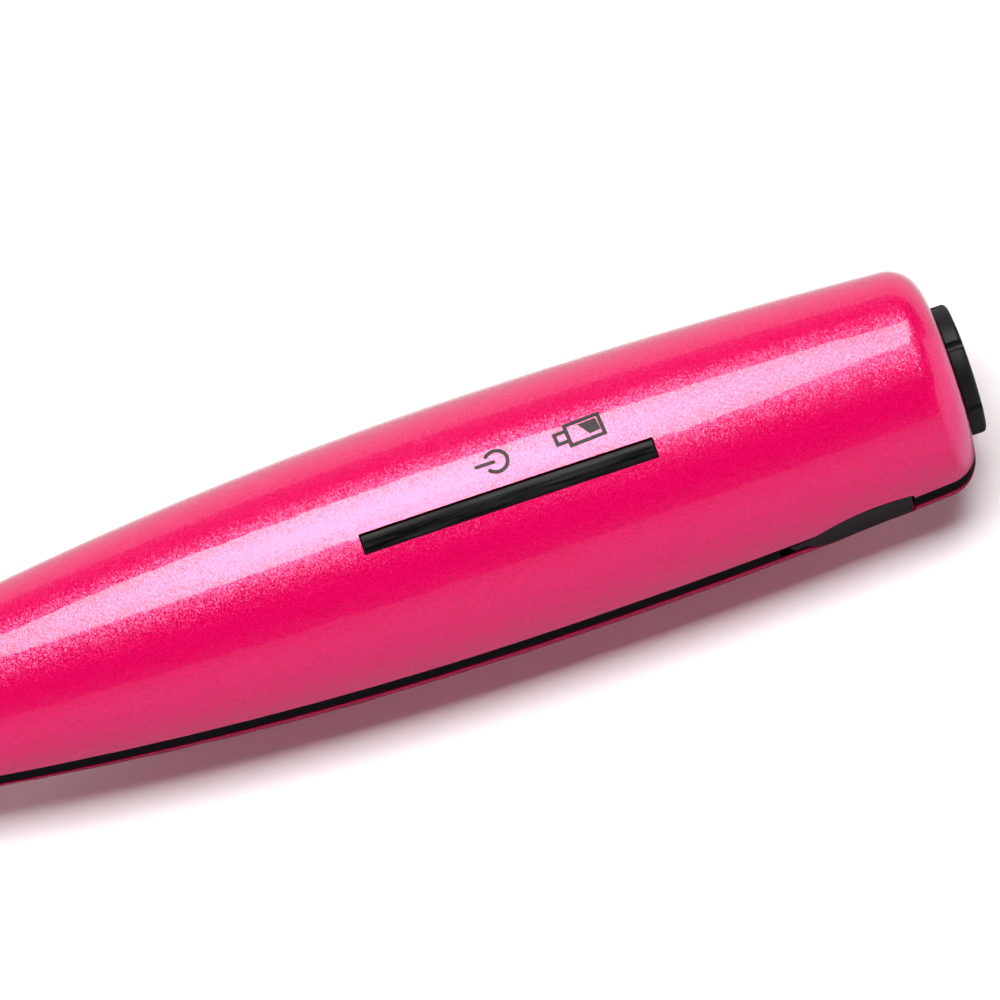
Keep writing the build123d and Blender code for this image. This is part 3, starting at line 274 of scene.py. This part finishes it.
def window_lens():
    """Smoked window: near-black gloss, faint flow streaks along it, a faint painted sheen over one
    side and a rim darkened as painted shade.
    """
    f = Finish("window_lens", Specular_IOR_Level=0.14)
    streaks = f.noise(1.0, 3.0, place=f.stretched((0.12, 2.2, 0.8)))
    fine = f.noise(1.0, 2.0, place=f.stretched((0.5, 7.0, 3.0)))
    body = f.blend(f.spread(streaks, 0, 1, 0.45, 0.72), LENS_BLACK, LENS_STREAK)
    body = f.blend(f.spread(fine, 0, 0.25, 0.4, 0.8), body, LENS_FINE)

    x, y, z = f.parts(f.place)
    tilt = radians(WINDOW_TILT)
    across = f.math("ADD", f.math("MULTIPLY", y, cos(tilt)), f.math("MULTIPLY", z, sin(tilt)))
    along = f.math("SUBTRACT", x, WINDOW_X)
    # Painted shade: this mask darkens the lens toward its sides and ends, and makes it rougher
    # there.
    side_from, end_from = WINDOW_WIDTH / 2 - SHADED_RIM_SIDE, WINDOW_LENGTH / 2 - SHADED_RIM_END
    side = f.spread(f.math("ABSOLUTE", across), 0, 1, side_from - SHADED_RIM_BLUR, side_from)
    end = f.spread(f.math("ABSOLUTE", along), 0, 1, end_from - SHADED_RIM_BLUR, end_from)
    shaded_rim = f.math("MAXIMUM", side, end)

    # Painted highlight: the lens is lightened over one side, across it, as if a sheen lay there.
    body = f.blend(f.ease(across, PAINTED_SHEEN_ACROSS, 0, PAINTED_SHEEN_SHARE), body, LENS_PAINTED_SHEEN)
    f.set("Base Color", f.blend(shaded_rim, body, RIM_PAINTED_SHADE))
    f.set("Roughness", f.blend(shaded_rim, f.spread(streaks, 0.12, 0.3, 0.35, 0.7), SHADED_RIM_ROUGHNESS))
    f.set("Normal", f.bump(fine, 0.003, normal=f.rounded(0.1)))
    return f.material


def moulded(name, colour, roughness, grain_mm=0.25, grain_depth=0.004, edge=0.12, **constants):
    """Moulded plastic: fine spark-eroded grain, slight sheen changes, softened edges."""
    f = Finish(name, **constants)
    handled = f.noise(6.0, 4.0)
    grain = f.noise(grain_mm, 2.0)
    f.set("Base Color", f.blend(handled, tone(colour, 0.82), tone(colour, 1.22)))
    f.set("Roughness", f.spread(handled, roughness - 0.06, roughness + 0.07, *NOISE_SPAN))
    f.set("Normal", f.bump(grain, grain_depth, normal=f.rounded(edge)))
    return f.material


def printed_ink():
    """Pad-printed ink, slightly uneven in density."""
    f = Finish("ink", Specular_IOR_Level=0.25)
    density = f.noise(0.35, 3.0)
    f.set("Base Color", f.blend(density, (0.010, 0.006, 0.007), (0.022, 0.013, 0.015)))
    f.set("Roughness", f.spread(density, 0.36, 0.5))
    f.set("Normal", f.bump(density, 0.002))
    return f.material


# ---- inner finishes --------------------------------------------------------------------------
GROOVE_MM, GROOVE_DEPTH_MM = 0.12, 0.0015
LINE_MM, LINE_DEPTH_MM = 0.05, 0.001


def turned_metal(name, colour, roughness):
    """Metal turned about the pen's axis: fine rings, with a mottled tarnish."""
    f = Finish(name, Metallic=1.0)
    rings = f.noise(1.0, 3.0, place=f.stretched((1 / GROOVE_MM, 0.4, 0.4)))
    tarnish = f.spread(f.noise(2.5, 4.0), 0, 1, *NOISE_SPAN)
    f.set("Base Color", f.blend(tarnish, tone(colour, 0.8), tone(colour, 1.08)))
    f.set("Roughness", f.spread(rings, roughness - 0.08, roughness + 0.12, *NOISE_SPAN))
    f.set("Normal", f.bump(rings, GROOVE_DEPTH_MM, normal=f.rounded(0.06)))
    return f.material


def drawn_metal(name, colour, roughness):
    """Sheet or drawn metal with fine lines along the pen's axis."""
    f = Finish(name, Metallic=1.0)
    lines = f.noise(1.0, 2.0, place=f.stretched((0.25, 1 / LINE_MM, 1 / LINE_MM)))
    stain = f.spread(f.noise(3.0, 3.0), 0, 1, *NOISE_SPAN)
    f.set("Base Color", f.blend(stain, tone(colour, 0.85), tone(colour, 1.05)))
    f.set("Roughness", f.spread(lines, roughness - 0.07, roughness + 0.1, *NOISE_SPAN))
    f.set("Normal", f.bump(lines, LINE_DEPTH_MM, normal=f.rounded(0.05)))
    return f.material


def clear_plastic(name, colour, roughness):
    """Clear moulded plastic with a faint haze."""
    f = Finish(name, IOR=1.49, Transmission_Weight=0.85)
    haze = f.noise(1.2, 3.0)
    f.set("Base Color", f.blend(haze, tone(colour, 0.9), tone(colour, 1.05)))
    f.set("Roughness", f.spread(haze, roughness, roughness + 0.12, *NOISE_SPAN))
    f.set("Normal", f.bump(f.noise(0.4, 2.0), 0.001, normal=f.rounded(0.08)))
    return f.material


def speckled(name, base, fleck, roughness, fleck_mm, **constants):
    """A body with scattered flecks, such as ceramic, sintered bronze or filled plastic."""
    f = Finish(name, **constants)
    flecks = f.math("MULTIPLY", f.spread(f.cells(fleck_mm), 1, 0, 0.18, 0.30), 0.7)
    cloud = f.noise(3.0, 4.0)
    body = f.blend(cloud, tone(base, 0.86), tone(base, 1.14))
    f.set("Base Color", f.blend(flecks, body, fleck))
    f.set("Roughness", f.spread(cloud, roughness - 0.07, roughness + 0.08, *NOISE_SPAN))
    f.set("Normal", f.bump(f.noise(fleck_mm, 2.0), 0.006, normal=f.rounded(0.1)))
    return f.material


MASK_DARK, MASK_TRACK, MASK_WEAVE = (0.008, 0.085, 0.035), (0.018, 0.20, 0.075), (0.03, 0.16, 0.08)
PAD_TIN, PAD_MM = (0.62, 0.60, 0.55), 2.6
TRACKS_PER_M, TRACK_JOG, TRACK_JOGS = 900.0, 0.18, 9.0


def circuit_board():
    """Solder mask over copper tracks, with small tinned pads."""
    f = Finish("board_green", Roughness=0.3, Coat_Weight=0.5, Coat_Roughness=0.12)
    jogs = f.math("MULTIPLY", f.math("SNAP", f.noise(3.0, 1.0), TRACK_JOG), TRACK_JOGS)
    lane = f.math("ADD", f.math("MULTIPLY", f.parts(f.place)[1], TRACKS_PER_M), jogs)
    track = f.spread(f.math("PINGPONG", lane, 0.5), 0, 1, 0.26, 0.30)
    pad = f.spread(f.cells(PAD_MM), 1, 0, 0.12, 0.14)
    weave = f.noise(0.3, 2.0)
    mask = f.blend(track, MASK_DARK, MASK_TRACK)
    mask = f.blend(f.spread(weave, 0, 0.25), mask, MASK_WEAVE)
    f.set("Base Color", f.blend(pad, mask, PAD_TIN))
    f.set("Metallic", f.spread(pad, 0, 0.9))
    f.set("Roughness", f.spread(weave, 0.26, 0.4))
    f.set("Normal", f.bump(track, 0.02, normal=f.rounded(0.05)))
    return f.material


FILM_DARK, FILM_LIGHT, FILM_COPPER = (0.42, 0.17, 0.02), (0.62, 0.30, 0.05), (0.68, 0.33, 0.12)
CONDUCTORS_PER_M = 1600.0


def polyimide():
    """Amber film with copper conductors under it."""
    f = Finish("ribbon_amber", Roughness=0.25, Coat_Weight=0.6, Coat_Roughness=0.1)
    lane = f.math("MULTIPLY", f.parts(f.place)[1], CONDUCTORS_PER_M)
    copper = f.spread(f.math("PINGPONG", lane, 0.5), 0, 1, 0.2, 0.26)
    cloud = f.noise(1.5, 3.0)
    film = f.blend(cloud, FILM_DARK, FILM_LIGHT)
    f.set("Base Color", f.blend(copper, film, FILM_COPPER))
    f.set("Roughness", f.spread(cloud, 0.2, 0.34))
    f.set("Normal", f.bump(copper, 0.02, normal=f.rounded(0.03)))
    return f.material


def foil_pouch():
    """Aluminium laminate: silver-grey, faintly embossed and creased."""
    f = Finish("battery_wrap", Metallic=0.75, Coat_Weight=0.5, Coat_Roughness=0.15)
    crease = f.spread(f.cells(3.5, feature="DISTANCE_TO_EDGE"), 0, 0.6, 0.0, 0.15)
    dimple = f.noise(0.5, 2.0)
    relief = f.math("ADD", crease, f.math("MULTIPLY", dimple, 0.3))
    f.set("Base Color", f.blend(f.noise(7.0), (0.50, 0.52, 0.54), (0.68, 0.70, 0.72)))
    f.set("Roughness", f.spread(dimple, 0.25, 0.42, *NOISE_SPAN))
    f.set("Normal", f.bump(relief, 0.03, normal=f.rounded(0.3)))
    return f.material


def foam():
    """Grey open-cell foam, its pits darkened as painted shade."""
    f = Finish("foam_grey", Roughness=0.95, Sheen_Weight=0.3)
    cell = f.cells(0.35)
    # Painted shade: the pits, where the bump is lowest, are darker than the cell walls.
    painted_pit_shade = f.spread(cell, 0, 1, 0.0, 0.6)
    f.set("Base Color", f.blend(painted_pit_shade, (0.10, 0.10, 0.105), (0.30, 0.30, 0.31)))
    f.set("Normal", f.bump(cell, 0.08))
    return f.material


def lamp_package():
    """White lamp bodies with patches of yellow phosphor."""
    f = Finish("led_white", Roughness=0.4, Coat_Weight=0.3)
    phosphor = f.noise(0.25, 3.0)
    patch = f.spread(phosphor, 0, 1, 0.4, 0.6)
    f.set("Base Color", f.blend(patch, (0.92, 0.91, 0.86), (0.88, 0.78, 0.34)))
    f.set("Normal", f.bump(phosphor, 0.01, normal=f.rounded(0.08)))
    return f.material


finishes = {
    "pink_pearl": pearl_lacquer(),
    "black_satin": moulded(
        "black_satin", (0.003, 0.0025, 0.0025), roughness=0.42, Specular_IOR_Level=0.04
    ),
    "window_lens": window_lens(),
    "clear_guide": clear_plastic("clear_guide", (0.88, 0.93, 0.93), roughness=0.08),
    "led_white": lamp_package(),
    "board_green": circuit_board(),
    "screw_steel": turned_metal("screw_steel", (0.60, 0.60, 0.60), roughness=0.28),
    "ribbon_amber": polyimide(),
    "chip_black": speckled(
        "chip_black", (0.022, 0.022, 0.024), (0.05, 0.05, 0.052), roughness=0.55, fleck_mm=0.2
    ),
    "plunger_white": moulded(
        "plunger_white", (0.80, 0.80, 0.77), roughness=0.4, grain_mm=0.3, grain_depth=0.003
    ),
    "button_black": moulded(
        "button_black",
        (0.014, 0.014, 0.015),
        roughness=0.5,
        grain_mm=0.18,
        grain_depth=0.006,
        edge=0.15,
    ),
    "battery_wrap": foil_pouch(),
    "foam_grey": foam(),
    "nickel": drawn_metal("nickel", (0.72, 0.70, 0.65), roughness=0.22),
    "cover_rubber": moulded(
        "cover_rubber",
        (0.021, 0.014, 0.016),
        roughness=0.4,
        grain_mm=0.3,
        grain_depth=0.003,
        Specular_IOR_Level=0.12,
    ),
    "dial_black": moulded(
        "dial_black",
        (0.006, 0.0066, 0.0066),
        roughness=0.46,
        grain_mm=0.2,
        grain_depth=0.008,
        Specular_IOR_Level=0.25,
    ),
    "bush_natural": speckled(
        "bush_natural", (0.62, 0.55, 0.40), (0.50, 0.42, 0.28), roughness=0.45, fleck_mm=0.5
    ),
    "brass": turned_metal("brass", (0.78, 0.56, 0.24), roughness=0.24),
    "bearing_bronze": speckled(
        "bearing_bronze",
        (0.50, 0.33, 0.17),
        (0.20, 0.12, 0.06),
        roughness=0.4,
        fleck_mm=0.18,
        Metallic=0.85,
    ),
    "brass_steel": turned_metal("brass_steel", (0.62, 0.60, 0.56), roughness=0.3),
    "motor_can": drawn_metal("motor_can", (0.62, 0.63, 0.64), roughness=0.3),
    "tube_white": moulded(
        "tube_white",
        (0.86, 0.86, 0.84),
        roughness=0.35,
        grain_mm=0.5,
        grain_depth=0.002,
        edge=0.08,
        Subsurface_Weight=0.2,
    ),
    "heater_ceramic": speckled(
        "heater_ceramic", (0.80, 0.78, 0.72), (0.55, 0.50, 0.43), roughness=0.5, fleck_mm=0.3
    ),
    "sensor_glass": clear_plastic("sensor_glass", (0.85, 0.45, 0.15), roughness=0.05),
    "cone_black": speckled(
        "cone_black", (0.015, 0.015, 0.015), (0.045, 0.045, 0.045), roughness=0.42, fleck_mm=0.22
    ),
}

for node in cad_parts.values():
    for slot in node.material_slots:
        slot.material = finishes[slot.material.name]


# ---- printed symbols -------------------------------------------------------------------------
# An arc is a length round the barrel from its top, toward +Y.
INK_HEIGHT = 0.004 * MM
INK_EDGE = 0.3 * MM             # edges longer than this are divided, so the ink follows the barrel
INK_PASSES = 2
STROKE = 0.46 * MM
POWER_X, POWER_ARC = 107.6 * MM, 1.42 * MM
POWER_R = 1.31 * MM
POWER_OPENING = 42.0            # half angle of the ring's gap
POWER_BAR = (-2.32 * MM, -0.3 * MM)
BATTERY_X = (115.83 * MM, 120.27 * MM)
BATTERY_ARC = (0.22 * MM, 3.28 * MM)
BATTERY_LEAN = 3.5              # degrees off the pen's axis
NUB_X = 114.42 * MM
NUB_ARC = (0.88 * MM, 2.62 * MM)
CHARGE_MM = ((117.5, 2.66), (119.65, 2.68), (119.8, 1.10), (118.45, 1.0))
RING_STEPS = 40
DISC_STEPS = 16


def on_barrel(x, arc):
    """The point at a station and an arc, just proud of the barrel."""
    radius = barrel_radius(x)
    angle = arc / radius
    radius += INK_HEIGHT
    return Vector((x, radius * sin(angle), radius * cos(angle)))


def printed(name, outlines):
    """A thin printed shape on the barrel from closed (x, arc) outlines."""
    work = bmesh.new()
    for outline in outlines:
        face = work.faces.new([work.verts.new((x, arc, 0)) for x, arc in outline])
        face.normal_update()
    bmesh.ops.triangulate(work, faces=work.faces[:])
    for _ in range(INK_PASSES):
        long_edges = [e for e in work.edges if e.calc_length() > INK_EDGE]
        bmesh.ops.subdivide_edges(work, edges=long_edges, cuts=2)
        bmesh.ops.triangulate(work, faces=work.faces[:])
    for vertex in work.verts:
        vertex.co = on_barrel(vertex.co.x, vertex.co.y)
    for face in work.faces:
        face.smooth = True
        face.normal_update()
        if face.normal.z < 0:
            face.normal_flip()
    mesh = bpy.data.meshes.new(name)
    work.to_mesh(mesh)
    work.free()
    mesh.materials.append(printed_ink())
    piece = in_scene(name, mesh)
    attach(piece, "housing")


def box_outline(x_span, arc_span):
    (x0, x1), (a0, a1) = x_span, arc_span
    return [(x0, a0), (x1, a0), (x1, a1), (x0, a1)]


def frame_outline(x_span, arc_span, stroke):
    (x0, x1), (a0, a1) = x_span, arc_span
    return [
        box_outline((x0, x1), (a0, a0 + stroke)),
        box_outline((x0, x1), (a1 - stroke, a1)),
        box_outline((x0, x0 + stroke), (a0 + stroke, a1 - stroke)),
        box_outline((x1 - stroke, x1), (a0 + stroke, a1 - stroke)),
    ]


def round_outline(x, arc, radius, angles):
    return [(x + radius * cos(t), arc + radius * sin(t)) for t in angles]


def disc_outline(x, arc, radius):
    return round_outline(x, arc, radius, [2 * pi * i / DISC_STEPS for i in range(DISC_STEPS)])


def ring_outline(x, arc, radius, stroke, gap):
    """Open ring whose gap faces the tip."""
    start, sweep = pi + radians(gap), 2 * pi - 2 * radians(gap)
    angles = [start + sweep * i / RING_STEPS for i in range(RING_STEPS + 1)]
    outer = round_outline(x, arc, radius + stroke / 2, angles)
    inner = round_outline(x, arc, radius - stroke / 2, angles)
    return [[outer[i], outer[i + 1], inner[i + 1], inner[i]] for i in range(RING_STEPS)]


def leaning(outline, degrees):
    """The outline turned about the middle of the battery's body."""
    x0, a0 = sum(BATTERY_X) / 2, sum(BATTERY_ARC) / 2
    c, s = cos(radians(degrees)), sin(radians(degrees))
    return [
        (x0 + (x - x0) * c - (arc - a0) * s, a0 + (x - x0) * s + (arc - a0) * c)
        for x, arc in outline
    ]


ring = ring_outline(POWER_X, POWER_ARC, POWER_R, STROKE, POWER_OPENING)
opening = radians(POWER_OPENING)
ring_ends = round_outline(POWER_X, POWER_ARC, POWER_R, (pi - opening, pi + opening))
bar_ends = [(POWER_X + x, POWER_ARC) for x in POWER_BAR]
bar = box_outline(
    (bar_ends[0][0], bar_ends[1][0]), (POWER_ARC - STROKE / 2, POWER_ARC + STROKE / 2)
)
round_ends = [disc_outline(*end, STROKE / 2) for end in (*bar_ends, *ring_ends)]
printed("power_symbol", [*ring, bar, *round_ends])

nub = [
    box_outline((NUB_X, NUB_X + STROKE), NUB_ARC),
    box_outline((NUB_X + STROKE, BATTERY_X[0]), (NUB_ARC[0], NUB_ARC[0] + STROKE)),
    box_outline((NUB_X + STROKE, BATTERY_X[0]), (NUB_ARC[1] - STROKE, NUB_ARC[1])),
]
charge = [(x * MM, arc * MM) for x, arc in CHARGE_MM]
battery = [*frame_outline(BATTERY_X, BATTERY_ARC, STROKE), *nub, charge]
printed("battery_symbol", [leaning(outline, BATTERY_LEAN) for outline in battery])


# ---- floor and soft lights -------------------------------------------------------------------
# A light's angle goes over the top from the camera's side, in degrees.
FLOOR_HALF = 2.5
FLOOR_TONES = ((0.80, 0.80, 0.80), (0.82, 0.82, 0.82))
FLOOR_CLOUD_MM = 60.0
TOP_ANGLE = 92.5
TOP_DISTANCE = 0.75
TOP_SIZE = (0.50, 0.25)
TOP_RADIANCE = 20.5
FILL_ELEVATION = 10.0
FILL_DISTANCE = 0.9
FILL_SIZE = (1.0, 0.26)
END_FILL, FRONT_FILL, BACK_FILL = 3.0, 2.6, 5.0     # radiances


def over_the_top(angle):
    turn = radians(angle)
    return (0, -cos(turn), sin(turn))


def floor():
    corners = [(-1, -1), (1, -1), (1, 1), (-1, 1)]
    points = [(BELLY_X + FLOOR_HALF * x, FLOOR_HALF * y, cad_low.z) for x, y in corners]
    mesh = bpy.data.meshes.new("floor")
    mesh.from_pydata(points, [], [(0, 1, 2, 3)])
    f = Finish("floor")
    cloud = f.noise(FLOOR_CLOUD_MM, 2.0)
    f.set("Base Color", f.blend(cloud, *FLOOR_TONES))
    f.set("Roughness", f.spread(cloud, 0.6, 0.7))
    mesh.materials.append(f.material)
    piece = in_scene("floor", mesh)
    piece.visible_glossy = False    # the studio's pale surround stands for it in reflections


def softbox(name, direction, distance, size, radiance):
    """A soft rectangular light that faces the pen, with its first side level.

    It lights the pen and the floor, and isn't seen in gloss.
    """
    back = Vector(direction).normalized()
    side = Vector((0, 1, 0)) if abs(back.x) > abs(back.y) else Vector((1, 0, 0))
    rise = back.cross(side).normalized()
    side = rise.cross(back)
    data = bpy.data.lights.new(name, "AREA")
    data.shape = "RECTANGLE"
    data.size, data.size_y = size
    data.energy = radiance * pi * size[0] * size[1]
    light = in_scene(name, data)
    light.matrix_world = facing(side, rise, back, Vector((BELLY_X, 0, 0)) + back * distance)
    light.visible_glossy = False


# ---- the softbox seen in the barrel ----------------------------------------------------------
KEY_ANGLE = 115.0
KEY_DISTANCE = 0.75
KEY_SIZE = (0.66, 0.53)
KEY_OUTLINE = (                 # in half sizes, with one corner cut back
    (0.27, -1.0),
    (0.61, -0.08),
    (1.0, 0.30),
    (1.0, 1.0),
    (-0.67, 1.0),
    (-1.0, 0.58),
    (-1.0, -0.58),
    (-0.67, -1.0),
)
KEY_X = 0.02                    # its middle, from the belly
KEY_RADIANCE = 9.0
KEY_BRIGHT_X = -0.09            # where it is brightest, from its middle
KEY_FADE = (0.05, 0.42)         # it dims over this distance from there
KEY_FADED = 0.5                 # to this share


def key_softbox():
    """A glowing panel that is seen only in gloss, dimmer toward its ends."""
    mesh = bpy.data.meshes.new("key")
    points = [(x * KEY_SIZE[0] / 2, y * KEY_SIZE[1] / 2, 0) for x, y in KEY_OUTLINE]
    mesh.from_pydata(points, [], [tuple(range(len(points)))])
    panel = in_scene("key", mesh)
    place = Vector(over_the_top(KEY_ANGLE)) * KEY_DISTANCE + Vector((KEY_X + BELLY_X, 0, 0))
    turn = Matrix.Rotation(pi / 2 - radians(KEY_ANGLE), 4, "X")
    panel.matrix_world = Matrix.Translation(place) @ turn

    material = bpy.data.materials.new("key_glow")
    material.use_nodes = True
    n = Nodes(material.node_tree)
    n.tree.nodes.clear()
    x = n.parts(n.add("ShaderNodeTexCoord").outputs["Object"])[0]
    away = n.math("ABSOLUTE", n.math("SUBTRACT", x, KEY_BRIGHT_X))
    strength = n.ease(away, KEY_FADE, KEY_RADIANCE, KEY_RADIANCE * KEY_FADED)
    glow = n.add("ShaderNodeEmission", {"Strength": strength})
    n.add("ShaderNodeOutputMaterial", {"Surface": glow.outputs[0]})
    mesh.materials.append(material)

    panel.visible_camera = panel.visible_diffuse = panel.visible_shadow = False
    panel.visible_transmission = False


# ---- the studio seen in gloss ----------------------------------------------------------------
# Spans in X, Y and Z are parts of a direction's unit vector: X along the pen either way, Y away
# from the camera's side, Z up. Heights of the pale surround are in degrees above the horizon.
STUDIO_DARK = 0.015
SURROUND_BLUE = 1.18            # the surround's faint violet cast; the floor behind has none
SURROUND_BLUR = 0.012           # half width of its soft upper edge
FRONT_GLOW, BACK_GLOW, END_GLOW = 0.36, 0.55, 0.80
FRONT_HEIGHT, BACK_HEIGHT, END_HEIGHT = 31.0, 6.5, 42.0
GLOW_Y = (0.0, 0.5)             # from the front's glow to the back's
HEIGHT_Y = (-0.5, 0.1)          # from the front's height to the back's
END_X = (0.35, 0.6)             # where the part beyond the pen's two ends begins
END_Y = (0.3, 0.5)              # where it stops again, toward the back
FLOOR_GLOW = 1.0                # the lit floor close behind the pen
FLOOR_Y, FLOOR_Z = (0.27, 0.34), (-0.85, -0.5)
UNDER_LIGHT = 0.03              # straight down and in front, the pen's own shadow
UNDER_Z = (-0.95, -0.68)
CAST_SPAN = (0.0, 0.3)          # the floor's glow over which the cast goes


def studio():
    """A dark room with a pale surround at the horizon. It is seen in gloss and lights nothing.

    The surround is higher in front of the pen and past its ends. Below it are the lit floor
    behind the pen and the pen's own shadow.
    """
    world = bpy.data.worlds.new("studio")
    world.use_nodes = True
    n = Nodes(world.node_tree)
    direction = n.parts(n.add("ShaderNodeTexCoord").outputs["Generated"])
    x, y, z = n.math("ABSOLUTE", direction[0]), direction[1], direction[2]

    beyond = n.math("MULTIPLY", n.ease(x, END_X, 0.0, 1.0), n.ease(y, END_Y, 1.0, 0.0))
    top = n.ease(y, HEIGHT_Y, sin(radians(FRONT_HEIGHT)), sin(radians(BACK_HEIGHT)))
    top = n.math("MAXIMUM", top, n.math("MULTIPLY", beyond, sin(radians(END_HEIGHT))))

    pale = n.ease(y, GLOW_Y, FRONT_GLOW, BACK_GLOW)
    pale = n.math("MAXIMUM", pale, n.math("MULTIPLY", beyond, END_GLOW))
    behind = n.ease(y, FLOOR_Y, 0.0, 1.0)
    floor_glow = n.math("MULTIPLY", behind, n.ease(z, FLOOR_Z, FLOOR_GLOW, 0.0))
    pale = n.math("MAXIMUM", pale, floor_glow)
    lit = n.math("MAXIMUM", n.ease(z, UNDER_Z, UNDER_LIGHT, 1.0), behind)
    pale = n.math("MINIMUM", pale, lit)

    above = n.math("SUBTRACT", z, top)
    strength = n.ease(above, (-SURROUND_BLUR, SURROUND_BLUR), pale, STUDIO_DARK)
    blue = n.ease(floor_glow, CAST_SPAN, SURROUND_BLUE, 1.0)
    colour = n.add("ShaderNodeCombineColor", {0: 1.0, 1: 1.0, 2: blue}).outputs[0]
    background = n.tree.nodes["Background"]
    n.tree.links.new(strength, background.inputs["Strength"])
    n.tree.links.new(colour, background.inputs["Color"])
    world.cycles_visibility.diffuse = False
    bpy.context.scene.world = world


floor()
key_softbox()
softbox("top", over_the_top(TOP_ANGLE), TOP_DISTANCE, TOP_SIZE, TOP_RADIANCE)
rise = radians(FILL_ELEVATION)
for name, direction, radiance in (
    ("left_fill", (-cos(rise), 0, sin(rise)), END_FILL),
    ("right_fill", (cos(rise), 0, sin(rise)), END_FILL),
    ("front_fill", over_the_top(FILL_ELEVATION), FRONT_FILL),
    ("back_fill", over_the_top(180 - FILL_ELEVATION), BACK_FILL),
):
    softbox(name, direction, FILL_DISTANCE, FILL_SIZE, radiance)
studio()
bpy.context.scene.view_settings.view_transform = "Standard"
